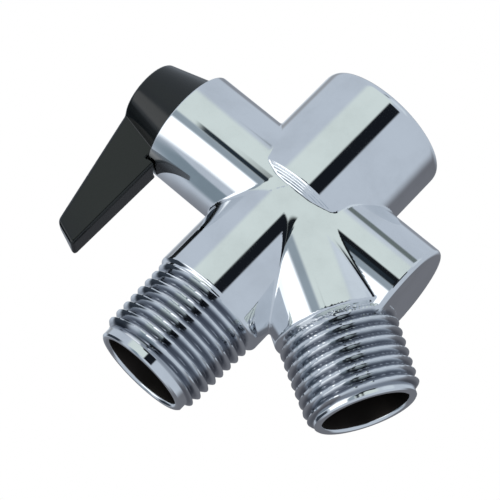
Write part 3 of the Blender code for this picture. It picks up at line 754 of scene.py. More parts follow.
@dataclass(frozen=True)
class CastBody:
    """The chrome-plated casting: barrel, inlet boss and two outlets in one piece."""

    barrel_radius: float = 10.6
    lever_end: float = -26.0
    closed_end: float = 24.4
    closed_round: float = 0.9
    inlet_radius: float = 13.0
    inlet_round: float = 1.3
    foot: float = 0.8            # the inlet's full radius stops here
    foot_cone: float = 1.4       # height of the cone that ends it
    fillet: float = 0.5
    bore_radius: float = 7.6
    bore_end: float = 21.4
    gland_radius: float = 8.6
    gland_depth: float = 7.5
    socket_radius: float = 9.8
    socket_floor: float = 11.2
    inlet_throat: float = 5.2
    port_radius: float = 3.4
    port_depth: float = 15.4
    angled_port: float = 13.0
    socket_thread: Thread = Thread(22.4, 10.3, 1.0, taper=0.0)
    mouth: float = 10.5          # radius of the inlet's opening at its end face
    mouth_round: float = 1.6
    steps: int = 144
    pitch: float = 0.3           # spacing of the samples for the middle
    kept: float = 0.42           # part of the middle's triangles that is kept
    lever_arm: ArmEnd = ArmEnd(Axis((0, 0, 0), (-1, 0, 0), (0, 1, 0)), 16.0)
    inlet_arm: ArmEnd = ArmEnd(Axis((0, 0, 0), (0, 0, 1), (1, 0, 0)), 13.2, split=11.4)
    straight: Outlet = Outlet(ArmEnd(Axis((0, 0, 0), (0, 0, -1), (1, 0, 0)), 21.2), 11.0, 39.7, 4.5,
                              Thread(24.9, 10.55, 1.05), 37.3)
    angled: Outlet = Outlet(ArmEnd(Axis((-0.8, 0, 0), (math.sqrt(0.75), 0, -0.5), (0.5, 0, math.sqrt(0.75))),
                                   24.15, tilt=0.251, throat_shift=-3.0), 10.9, 38.9, 4.2,
                            Thread(25.7, 10.55, 1.05), 37.2)

    def outside(self, points: Array) -> Array:
        """Distance to the outside: four round arms joined with small fillets."""
        x, y, z = np.moveaxis(points, -1, 0)
        upright = np.hypot(x, y)
        barrel = drum(np.hypot(y, z), x, self.lever_end, self.closed_end, self.barrel_radius, 0.25,
                      self.closed_round)
        slope = math.hypot(self.foot_cone, self.inlet_radius - self.straight.radius)
        cone = ((upright - self.inlet_radius) * self.foot_cone
                - (z - self.foot) * (self.inlet_radius - self.straight.radius)) / slope
        boss = drum(upright, z, -5.0, INLET_HEIGHT, self.inlet_radius, 0.1, self.inlet_round)
        boss = trim(boss, cone, 0.15)
        body = weld(barrel, self.straight.distance(points), self.fillet)
        body = weld(body, self.angled.distance(points), self.fillet)
        return weld(body, boss, 0.3)

    def passages(self, points: Array) -> Array:
        """Distance to the bores: the barrel's, the socket, the throats and the two ports."""
        x, y, z = np.moveaxis(points, -1, 0)
        upright = np.hypot(x, y)
        straight, angled = self.straight, self.angled
        across, other, along = angled.arm.axis.local(points)
        bores = [
            drum(np.hypot(y, z), x, -PAST_END, self.bore_end, self.bore_radius),
            drum(upright, z, self.socket_floor, PAST_END, self.socket_radius, 0.3),
            drum(upright, z, 0.0, self.socket_floor + 1.0, self.inlet_throat),
            drum(upright, -z, 0.0, self.port_depth, self.port_radius),
            drum(upright, -z, 11.5, PAST_END, straight.throat),
            drum(np.hypot(x - self.angled_port, y), -z, 0.0, self.port_depth, self.port_radius),
            drum(np.hypot(across - angled.arm.throat_shift, other), along, 20.0, PAST_END, angled.throat),
        ]
        return np.minimum.reduce(bores)

    def distance(self, points: Array) -> Array:
        """Distance to the casting: its outside without its passages."""
        return np.maximum(self.outside(points), -self.passages(points))

    def lever_end_rows(self) -> Array:
        """Outline of the barrel's open end, from the cut over the end face into the gland's bore."""
        low = self.lever_arm.cut_height(np.zeros(1))[0]
        end, shoulder = -self.lever_end, -self.lever_end - self.gland_depth
        return rounded([(low, self.barrel_radius, 0), (end, self.barrel_radius, 0.3),
                        (end, self.gland_radius, 0.25), (shoulder, self.gland_radius, 0.2),
                        (shoulder, self.bore_radius, 0.1), (low, self.bore_radius, 0)])

    def inlet_rows(self) -> tuple[Array, Array, Array]:
        """The inlet's end as rings: up the boss, over its round edge and down the threaded socket.

        Returns:
            Along and radius for each ring and angle, and each ring's inside mark.
        """
        angle = np.linspace(0.0, 2.0 * np.pi, self.steps, endpoint=False)
        low = self.inlet_arm.cut_height(np.zeros(1))[0]
        outer = rounded([(low, self.inlet_radius, 0), (INLET_HEIGHT, self.inlet_radius, self.mouth_round),
                         (INLET_HEIGHT, self.mouth, 0.2), (INLET_HEIGHT - 0.7, self.mouth - 0.7, 0)], 8)
        depth = np.linspace(INLET_HEIGHT - 0.75, low, 56)
        inner = self.socket_thread.radius(depth[:, None], angle[None])
        inner = blend(inner, self.socket_radius, (16.6 - depth[:, None]) / 0.9)
        inner = blend(inner, self.socket_radius, (depth[:, None] - INLET_HEIGHT + 1.5) / 0.7)
        along = np.vstack([np.repeat(outer[:, :1], self.steps, 1), np.repeat(depth[:, None], self.steps, 1)])
        radius = np.vstack([np.repeat(outer[:, 1:], self.steps, 1), inner])
        return along, radius, np.r_[np.zeros(len(outer)), np.ones(len(depth))]

    def middle(self) -> tuple[Array, Array, list[Array], Array]:
        """The casting's middle, where the arms meet, cut off square to each arm."""
        low, high = (-17.4, -14.1, -23.2), (29.4, 14.1, 14.6)
        surface = LevelSurface(self.distance, low, high, self.pitch)
        points, quads = surface.mesh()
        points, faces = thinned(points, quads, self.kept)
        points = surface.settle(points)
        arms = (self.angled.arm, self.straight.arm, self.inlet_arm, self.lever_arm)
        return sliced(points, faces, [arm.cut_plane() for arm in arms])

    def piece(self, material: bpy.types.Material) -> Piece:
        """The whole casting: the middle with the four turned ends sewn on.

        Args:
            material: its finish.

        Returns:
            The piece, with a mark on the points of its passages and the depth of its grooves, which place
            painted shade inside the passages and at the thread roots.
        """
        points, faces, rings, after = self.middle()
        surface = LevelSurface(self.distance, (0, 0, 0), (1, 1, 1), self.pitch)
        normals = [surface.normals(points)]
        # Points on the passages' walls, marked for painted shade inside the bores.
        marks = [(np.abs(self.passages(points)) < 0.03).astype(float)]
        all_points, all_faces, count = [points], faces.tolist(), len(points)
        angle = np.linspace(0.0, 2.0 * np.pi, self.steps, endpoint=False)
        gland = self.lever_end_rows()
        inlet_along, inlet_radius, inlet_mark = self.inlet_rows()
        ends = []
        for outlet in (self.angled, self.straight):
            along, radius, shift, mark = outlet.rows()
            ends.append((outlet.arm, along, radius, shift, mark))
        ends.append((self.inlet_arm, inlet_along, inlet_radius, np.zeros(len(inlet_along)), inlet_mark))
        ends.append((self.lever_arm, np.repeat(gland[:, :1], self.steps, 1),
                     np.repeat(gland[:, 1:], self.steps, 1), np.zeros(len(gland)),
                     (gland[:, 1] <= self.gland_radius).astype(float)))
        for (arm, along, radius, shift, mark), ring in zip(ends, rings):
            end = arm.axis.place(radius, angle[None], along, shift[:, None]).reshape(-1, 3)
            all_faces += grid_faces(len(along), self.steps, count)
            all_faces += self.sewn(arm, points, ring, after, count, len(along))
            all_points.append(end)
            normals.append(np.zeros((len(end), 3)))
            marks.append(np.repeat(mark, self.steps))
            count += len(end)
        casting = np.vstack(all_points)
        # Masks for painted shade: the passages' walls and the thread roots are darkened.
        values = {"passage_shade": np.concatenate(marks),
                  "groove_shade": self.straight.groove_shade(casting) + self.angled.groove_shade(casting)}
        return Piece("valve_body_casting", casting, all_faces, Rides.VALVE, Slot.CHROME, material,
                     ("valve_body",), 34.0, values, np.vstack(normals))

    def sewn(self, arm: ArmEnd, points: Array, ring: Array, after: Array, start: int, rows: int) -> list:
        """Triangles that join a cut of the middle to an arm's first and last ring.

        Args:
            arm: the arm.
            points: the middle's points.
            ring: the numbers of those that lie on the cut.
            after: for each point the one that follows it along an open edge.
            start: number of the arm's first point.
            rows: how many rings the arm has.

        Returns:
            The triangles.
        """
        angle = np.linspace(0.0, 2.0 * np.pi, self.steps, endpoint=False)
        across, other, _ = arm.axis.local(points[ring])
        outer = np.hypot(across, other) > arm.split
        faces = []
        for chosen, shift, row in ((outer, 0.0, 0), (~outer, arm.throat_shift, rows - 1)):
            walked = ring_order(after, ring[chosen][0])
            across, other, _ = arm.axis.local(points[walked])
            own = start + row * self.steps + np.arange(self.steps)
            faces += zipper(walked, np.arctan2(other, across - shift), own, angle)
        return faces


# ---------------------------------------------------------------- the lever and small pieces


@dataclass(frozen=True)
class Lever:
    """The moulded lever: a conical hub that turns on the barrel's end, and a wedge-shaped blade."""

    hub_face: float = -26.3
    hub_end: float = -35.6
    hub_large: float = 9.0
    hub_small: float = 6.4
    hub_round: float = 0.55
    inner_face: float = -24.2    # the blade's edge next to the body
    root: float = -5.8           # the blade starts here, inside the hub
    tip_inner: tuple[float, float] = (-24.2, -31.3)
    tip_outer: tuple[float, float] = (-29.8, -29.3)
    hub_edge: tuple[float, float] = (-35.35, -6.4)
    root_half: float = 3.1       # half thickness next to the body, at the hub
    tip_half: float = 2.7        # and at the tip
    outer_half: float = 1.3      # half thickness at the outer edge
    blade_round: float = 0.7
    barrel_clearance: float = 10.9
    drive_side: float = 6.6
    web: tuple[float, float] = (-31.1, -29.9)
    screw_hole: float = 2.25
    head_hole: float = 3.7
    cap_floor: float = -34.0
    cap_hole: float = 4.6
    pitch: float = 0.27          # spacing of the samples
    kept: float = 0.55           # part of the triangles that is kept

    @staticmethod
    def beyond(x: Array, z: Array, first: tuple[float, float], second: tuple[float, float]) -> Array:
        """Distance in the plane of the blade to the line from first to second, positive on its right."""
        run = np.array(second) - np.array(first)
        run = run / np.linalg.norm(run)
        return (x - first[0]) * run[1] - (z - first[1]) * run[0]

    def hub(self, points: Array) -> Array:
        """Distance to the hub: a cone between two flat ends."""
        x, y, z = np.moveaxis(points, -1, 0)
        fall = (self.hub_large - self.hub_small) / (self.hub_face - self.hub_end)
        cone = (np.hypot(y, z) - self.hub_large - (x - self.hub_face) * fall) / math.hypot(1.0, fall)
        return trim(trim(cone, self.hub_end - x, self.hub_round), x - self.hub_face, 0.15)

    def blade(self, points: Array) -> Array:
        """Distance to the blade: flat sides that close in to its outer edge, clear of the barrel."""
        x, y, z = np.moveaxis(points, -1, 0)
        outer_run = (self.tip_outer[0] - self.hub_edge[0]) / (self.tip_outer[1] - self.hub_edge[1])
        outer_x = self.tip_outer[0] + (z - self.tip_outer[1]) * outer_run
        fall = (self.root - z) / (self.root - self.tip_inner[1])
        thick = self.root_half + (self.tip_half - self.root_half) * fall
        share = (x - outer_x) / (self.inner_face - outer_x)
        sides = (np.abs(y) - self.outer_half - (thick - self.outer_half) * share) * 0.96
        edges = trim(x - self.inner_face, self.beyond(x, z, self.hub_edge, self.tip_outer), 0.5)
        edges = trim(edges, self.beyond(x, z, self.tip_outer, self.tip_inner), 0.8)
        blade = trim(trim(edges, sides, self.blade_round), z - self.root, 0.1)
        barrel = np.maximum(np.hypot(y, z) - self.barrel_clearance, self.hub_face - x)
        return trim(blade, -barrel, 0.15)

    def hollows(self, points: Array) -> Array:
        """Distance to the square drive socket and the stepped hole for screw and cap."""
        x, y, z = np.moveaxis(points, -1, 0)
        radius = np.hypot(y, z)
        square = np.maximum(np.abs(y), np.abs(z)) - self.drive_side / 2.0
        holes = [
            np.maximum(square, np.maximum(self.web[1] - x, x - self.hub_face - 1.0)),
            drum(radius, x, self.web[0] - 1.0, self.web[1] + 1.0, self.screw_hole),
            drum(radius, x, self.cap_floor - 1.0, self.web[0], self.head_hole),
            drum(radius, x, self.hub_end - 5.0, self.cap_floor, self.cap_hole),
        ]
        return np.minimum.reduce(holes)

    def distance(self, points: Array) -> Array:
        """Distance to the lever: hub and blade in one, without its holes."""
        return np.maximum(weld(self.hub(points), self.blade(points), 0.25), -self.hollows(points))

    def piece(self, material: bpy.types.Material) -> Piece:
        """The whole lever, meshed from its distance field."""
        surface = LevelSurface(self.distance, (-36.1, -9.5, -32.0), (-23.7, 9.5, 9.6), self.pitch)
        points, quads = surface.mesh()
        points, faces = thinned(points, quads, self.kept)
        points = surface.settle(points)
        return Piece("lever_moulding", points, faces.tolist(), Rides.ROTOR, Slot.PLASTIC, material,
                     ("lever_handle",), 30.0, {}, surface.normals(points))


def node_box(name: str) -> tuple[Array, Array]:
    """Lowest and highest corner of a CAD node, in millimetres from the axes' crossing."""
    low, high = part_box(name)
    lift = np.array([0.0, 0.0, INLET_HEIGHT])
    return np.array(low) / METRE + lift, np.array(high) / METRE + lift


def ring_outline(low: float, high: float, inner: float, outer: float, edge: float) -> Array:
    """Closed outline of a flat ring with rounded edges, starting in the middle of its bore."""
    middle = 0.5 * (low + high)
    return rounded([(middle, inner, 0), (low, inner, edge), (low, outer, edge), (high, outer, edge),
                    (high, inner, edge), (middle, inner, 0)])[:-1]


@dataclass(frozen=True)
class SmallPieces:
    """The turned and wound pieces that are finer than their solids."""

    crisp: float = 50.0          # edges that turn more than this stay crisp, in degrees
    cap_radius: float = 4.3
    washer_bore: float = 6.0
    wire: float = 0.3
    spring_turns: float = 3.0
    oring_section: float = 0.72
    barrel_axis: Axis = Axis((0, 0, 0), (1, 0, 0), (0, 1, 0))
    inlet_axis: Axis = Axis((0, 0, 0), (0, 0, 1), (1, 0, 0))

    def cap(self, material: bpy.types.Material) -> Piece:
        """Cap over the handle's screw: a disc with a rounded rim and a shallow dished middle."""
        low, high = node_box("handle_cap")
        size = self.cap_radius
        outline = rounded([(high[0], 0.0, 0), (high[0], size, 0.15), (low[0], size, 0.3),
                           (low[0], size - 0.9, 0.12), (low[0] + 0.15, size - 1.1, 0.12),
                           (low[0] + 0.25, 0.0, 0)])
        points, faces = ring_surface(self.barrel_axis, outline, 96, closed=False)
        return Piece("handle_cap_disc", points, faces, Rides.ROTOR, Slot.PLASTIC, material,
                     ("handle_cap",), self.crisp)

    def inlet_washer(self, material: bpy.types.Material) -> Piece:
        """Rubber washer in the socket, a flat ring with soft edges."""
        low, high = node_box("inlet_washer")
        outline = ring_outline(low[2], high[2], self.washer_bore, high[0], 0.35)
        points, faces = ring_surface(self.inlet_axis, outline, 96, closed=True)
        return Piece("inlet_washer_ring", points, faces, Rides.VALVE, Slot.RUBBER, material,
                     ("inlet_washer",), self.crisp)

    def oring(self, node: str, material: bpy.types.Material) -> Piece:
        """O-ring on the core: a circle of the section's radius, turned round the barrel's axis."""
        low, high = node_box(node)
        middle = 0.5 * (low[0] + high[0])
        turn = np.linspace(0.0, 2.0 * np.pi, 20, endpoint=False)
        centre = high[1] - self.oring_section
        outline = np.stack([middle + self.oring_section * np.sin(turn),
                            centre + self.oring_section * np.cos(turn)], -1)
        points, faces = ring_surface(self.barrel_axis, outline, 72, closed=True)
        return Piece(f"{node}_turned", points, faces, Rides.ROTOR, Slot.RUBBER, material, (node,), 60.0)

    def spring(self, node: str, material: bpy.types.Material) -> Piece:
        """Seal spring: a helix in z whose pitch is flat at both ends.

        The height is low + (high - low) (t - sin(2 pi t) / (2 pi)), with t from 0 to 1.
        """
        low, high = node_box(node)
        middle = 0.5 * (low + high)
        t = np.linspace(0.0, 1.0, 132)
        angle = 2.0 * np.pi * self.spring_turns * t
        radius = 0.5 * (high[0] - low[0]) - self.wire
        share = t - np.sin(2.0 * np.pi * t) / (2.0 * np.pi)
        rise = low[2] + self.wire + (high[2] - low[2] - 2.0 * self.wire) * share
        path = np.stack([middle[0] + radius * np.cos(angle), middle[1] + radius * np.sin(angle), rise], -1)
        points, faces = tube_surface(path, self.wire)
        return Piece(f"{node}_wound", points, faces, Rides.ROTOR, Slot.STEEL, material, (node,), self.crisp)


# ---------------------------------------------------------------- finishes


class Tree:
    """Short calls for placing and joining nodes in one shader tree."""

    def __init__(self, tree: bpy.types.NodeTree) -> None:
        """Keeps the tree and removes what it starts with."""
        self.tree = tree
        tree.nodes.clear()

    def add(self, kind: str, inputs: dict | None = None, **settings: object) -> bpy.types.Node:
        """Adds a node.

        Args:
            kind: the node's type, without its common first word.
            inputs: value or output socket for each input, by name or number.
            settings: the node's own settings.

        Returns:
            The node.
        """
        node = self.tree.nodes.new(f"ShaderNode{kind}")
        for name, value in settings.items():
            setattr(node, name, value)
        for name, value in (inputs or {}).items():
            socket = node.inputs[name]
            if isinstance(value, bpy.types.NodeSocket):
                self.tree.links.new(value, socket)
            else:
                socket.default_value = value
        return node

    def math(self, operation: str, *values: object) -> bpy.types.NodeSocket:
        """Output of a Math node on one to three values or sockets."""
        return self.add("Math", dict(enumerate(values)), operation=operation).outputs[0]

    def ramp(self, value: object, low: float, high: float, to_low: float = 0.0,
             to_high: float = 1.0) -> bpy.types.NodeSocket:
        """Value carried smoothly from low..high to to_low..to_high, and held outside."""
        node = self.add("MapRange", {0: value, 1: low, 2: high, 3: to_low, 4: to_high},
                        interpolation_type="SMOOTHSTEP")
        return node.outputs[0]

    def mix(self, share: object, first: object, second: object) -> bpy.types.NodeSocket:
        """Colour that goes from first to second."""
        node = self.add("Mix", {0: share, 6: first, 7: second}, data_type="RGBA")
        return node.outputs[2]


def new_group(name: str, inputs: Sequence[tuple[str, str, float]], outputs: Sequence[tuple[str, str]]
              ) -> tuple[bpy.types.NodeTree, Tree, bpy.types.Node, bpy.types.Node]:
    """Starts a shader node group.

    Args:
        name: the group's name.
        inputs: name, socket type's last word and default of each input.
        outputs: name and socket type's last word of each output.

    Returns:
        The group, a Tree on it, and its input and output nodes.
    """
    group = bpy.data.node_groups.new(name, "ShaderNodeTree")
    for label, kind, default in inputs:
        socket = group.interface.new_socket(label, in_out="INPUT", socket_type=f"NodeSocket{kind}")
        if kind == "Float":
            socket.default_value = default
    for label, kind in outputs:
        group.interface.new_socket(label, in_out="OUTPUT", socket_type=f"NodeSocket{kind}")
    tree = Tree(group)
    return group, tree, group.nodes.new("NodeGroupInput"), group.nodes.new("NodeGroupOutput")


def wear_group() -> bpy.types.NodeTree:
    """Cloudy smudges and fine rubbed lines: one mask for roughness and a normal.

    Smudge is layered noise.  Lines are noise stretched along z.  Both lift the normal
    a little, by Depth metres.
    """
    group, tree, start, end = new_group(
        "wear", [("Vector", "Vector", 0), ("Scale", "Float", 120.0), ("Stretch", "Float", 0.06),
                 ("Depth", "Float", 0.00001)],
        [("Smudge", "Float"), ("Lines", "Float"), ("Normal", "Vector")])
    smudge = tree.add("TexNoise", {"Vector": start.outputs[0], "Scale": start.outputs[1], "Detail": 5.0,
                                   "Roughness": 0.6})
    squeeze = tree.add("CombineXYZ", {0: 1.0, 1: 1.0, 2: start.outputs[2]})
    thin = tree.add("VectorMath", {0: start.outputs[0], 1: squeeze.outputs[0]}, operation="MULTIPLY")
    fine = tree.math("MULTIPLY", start.outputs[1], 14.0)
    lines = tree.add("TexNoise", {"Vector": thin.outputs[0], "Scale": fine, "Detail": 3.0, "Roughness": 0.7})
    height = tree.math("ADD", smudge.outputs[0], tree.math("MULTIPLY", lines.outputs[0], 0.12))
    bump = tree.add("Bump", {"Height": height, "Distance": start.outputs[3], "Strength": 1.0})
    group.links.new(tree.ramp(smudge.outputs[0], 0.35, 0.75), end.inputs[0])
    group.links.new(tree.ramp(lines.outputs[0], 0.55, 0.8), end.inputs[1])
    group.links.new(bump.outputs[0], end.inputs[2])
    return group


def grain_group() -> bpy.types.NodeTree:
    """Moulded skin: a fine pebbled normal over a slow waviness, and a mask of dull spots."""
    group, tree, start, end = new_group(
        "grain", [("Vector", "Vector", 0), ("Scale", "Float", 900.0), ("Depth", "Float", 0.00001)],
        [("Spots", "Float"), ("Normal", "Vector")])
    pebble = tree.add("TexVoronoi", {"Vector": start.outputs[0], "Scale": start.outputs[1]},
                      feature="SMOOTH_F1")
    coarse = tree.math("MULTIPLY", start.outputs[1], 0.12)
    slow = tree.add("TexNoise", {"Vector": start.outputs[0], "Scale": coarse, "Detail": 3.0})
    height = tree.math("ADD", tree.math("MULTIPLY", pebble.outputs[0], 0.5), slow.outputs[0])
    bump = tree.add("Bump", {"Height": height, "Distance": start.outputs[2], "Strength": 1.0})
    group.links.new(tree.ramp(slow.outputs[0], 0.4, 0.7), end.inputs[0])
    group.links.new(bump.outputs[0], end.inputs[1])
    return group


@dataclass(frozen=True)
class Metal:
    """A metal finish: colour, polish and how much wear it shows."""

    name: str
    color: tuple[float, float, float]
    roughness: float
    dull: float                  # roughness that smudges add
    scale: float = 120.0
    stretch: float = 0.06
    depth: float = 0.000002
    passage_shade: tuple[float, float, float] | None = None   # painted shade inside a casting's passages
    passage_dull: float = 0.42   # roughness added inside it
    groove_shade: tuple[float, float, float] = (0.30, 0.32, 0.36)   # painted shade at the roots of its threads
    groove_dull: float = 0.10    # roughness added there
    smudge_shade: float = 0.9    # a smudge's share of the colour
    turned_foot: bool = False    # cutter marks round the inlet's foot

    def material(self, wear: bpy.types.NodeTree) -> bpy.types.Material:
        """Builds the material.

        Args:
            wear: the wear group.

        Returns:
            A Principled material, duller where smudged, and with painted shade and added roughness in
            passages and at thread roots.
        """
        made = bpy.data.materials.new(self.name)
        made.use_nodes = True
        tree = Tree(made.node_tree)
        place = tree.add("TexCoord").outputs["Object"]
        worn = tree.add("Group", node_tree=wear)
        for name, value in (("Scale", self.scale), ("Stretch", self.stretch), ("Depth", self.depth)):
            worn.inputs[name].default_value = value
        tree.tree.links.new(place, worn.inputs["Vector"])
        dark = tuple(self.smudge_shade * c for c in self.color)
        color = tree.mix(worn.outputs["Smudge"], (*self.color, 1.0), (*dark, 1.0))
        rough = tree.math("MULTIPLY_ADD", worn.outputs["Smudge"], self.dull, self.roughness)
        rough = tree.math("MULTIPLY_ADD", worn.outputs["Lines"], self.dull * 0.6, rough)
        normal = worn.outputs["Normal"]
        if self.passage_shade is not None:
            # Painted shade at the thread roots: the colour darkens with depth in the thread.
            groove_shade = tree.add("Attribute", attribute_name="groove_shade").outputs["Fac"]
            color = tree.mix(tree.ramp(groove_shade, 0.12, 0.8), color, (*self.groove_shade, 1.0))
            rough = tree.math("MULTIPLY_ADD", tree.ramp(groove_shade, 0.2, 0.9), self.groove_dull, rough)
            # Painted shade inside the passages: their colour is darkened.
            inside = tree.add("Attribute", attribute_name="passage_shade").outputs["Fac"]
            color = tree.mix(inside, color, (*self.passage_shade, 1.0))
            rough = tree.math("MULTIPLY_ADD", inside, self.passage_dull, rough)
        if self.turned_foot:
            normal = self.foot_marks(tree, place, normal)
        shader = tree.add("BsdfPrincipled", {"Base Color": color, "Metallic": 1.0, "Roughness": rough,
                                             "Normal": normal})
        tree.tree.links.new(shader.outputs[0], tree.add("OutputMaterial").inputs[0])
        return made

    @staticmethod
    def foot_marks(tree: Tree, place: bpy.types.NodeSocket, normal: bpy.types.NodeSocket
                   ) -> bpy.types.NodeSocket:
        """Fine rings left by the cutter on the cone at the inlet's foot.

        The height is a sine of the distance from the inlet's axis, shown only in the
        few tenths of a millimetre of height where that cone lies.

        Args:
            tree: the material's tree.
            place: object coordinates.
            normal: normal to build on.

        Returns:
            The normal with the rings added.
        """
        spacing, height = 0.42 * METRE, 0.04 * METRE
        split = tree.add("SeparateXYZ", {0: place})
        flat = tree.add("CombineXYZ", {0: split.outputs[0], 1: split.outputs[1], 2: 0.0})
        radius = tree.add("VectorMath", {0: flat.outputs[0]}, operation="LENGTH").outputs["Value"]
        rings = tree.math("SINE", tree.math("MULTIPLY", radius, 2.0 * math.pi / spacing))
        low = (-0.5 - INLET_HEIGHT) * METRE
        high = (0.75 - INLET_HEIGHT) * METRE
        shown = tree.math("MULTIPLY", tree.ramp(split.outputs[2], low - 0.0002, low),
                          tree.ramp(split.outputs[2], high, high + 0.0001, 1.0, 0.0))
        shown = tree.math("MULTIPLY", shown, tree.ramp(radius, 0.0110, 0.0112))
        facing = tree.add("SeparateXYZ", {0: tree.add("NewGeometry").outputs["Normal"]}).outputs[2]
        shown = tree.math("MULTIPLY", shown, tree.ramp(facing, -0.75, -0.6, 1.0, 0.0))
        return tree.add("Bump", {"Height": tree.math("MULTIPLY", rings, shown), "Distance": height,
                                 "Strength": 1.0, "Normal": normal}).outputs[0]


@dataclass(frozen=True)
class Moulded:
    """A plastic or rubber finish."""

    name: str
    color: tuple[float, float, float]
    spot: tuple[float, float, float]     # colour of its duller spots
    roughness: float
    dull: float
    scale: float = 900.0
    depth: float = 0.000008

    def material(self, grain: bpy.types.NodeTree) -> bpy.types.Material:
        """Builds the material.

        Args:
            grain: the grain group.

        Returns:
            A Principled material with a moulded skin.
        """
        made = bpy.data.materials.new(self.name)
        made.use_nodes = True
        tree = Tree(made.node_tree)
        skin = tree.add("Group", node_tree=grain)
        skin.inputs["Scale"].default_value = self.scale
        skin.inputs["Depth"].default_value = self.depth
        tree.tree.links.new(tree.add("TexCoord").outputs["Object"], skin.inputs["Vector"])
        color = tree.mix(skin.outputs["Spots"], (*self.color, 1.0), (*self.spot, 1.0))
        rough = tree.math("MULTIPLY_ADD", skin.outputs["Spots"], self.dull, self.roughness)
        shader = tree.add("BsdfPrincipled", {"Base Color": color, "Roughness": rough,
                                             "Normal": skin.outputs["Normal"]})
        tree.tree.links.new(shader.outputs[0], tree.add("OutputMaterial").inputs[0])
        return made


# The chrome's passage colour is painted shade inside the bores, and its groove colour is painted shade at the
# thread roots.
CHROME = Metal("bright_chrome", (0.86, 0.88, 0.90), 0.035, 0.05, 110.0, 0.06, 0.0000016,
               passage_shade=(0.10, 0.085, 0.075), turned_foot=True)
BRASS = Metal("turned_brass", (0.78, 0.58, 0.27), 0.22, 0.14, 260.0, 0.2, 0.000004)
STEEL = Metal("drawn_steel", (0.62, 0.62, 0.61), 0.24, 0.14, 300.0, 0.2, 0.000003)
BLACK = Moulded("satin_black", (0.0062, 0.0078, 0.0068), (0.0100, 0.0122, 0.0105), 0.13, 0.08,
                700.0, 0.000003)
RUBBER = Moulded("nitrile_rubber", (0.018, 0.018, 0.019), (0.030, 0.030, 0.031), 0.55, 0.20, 1100.0, 0.000012)
NYLON = Moulded("natural_nylon", (0.70, 0.69, 0.64), (0.62, 0.61, 0.56), 0.38, 0.15, 800.0, 0.000008)


# ---------------------------------------------------------------- studio and camera


@dataclass(frozen=True)
class Card:
    """A soft-edged card or gap in the light tent, in degrees seen from the object.

    Azimuth 0 lies along +Y and grows towards +X.
    """

    azimuth: float
    height: float
    half_width: float
    half_height: float
    soft: float
    color: tuple[float, float, float]


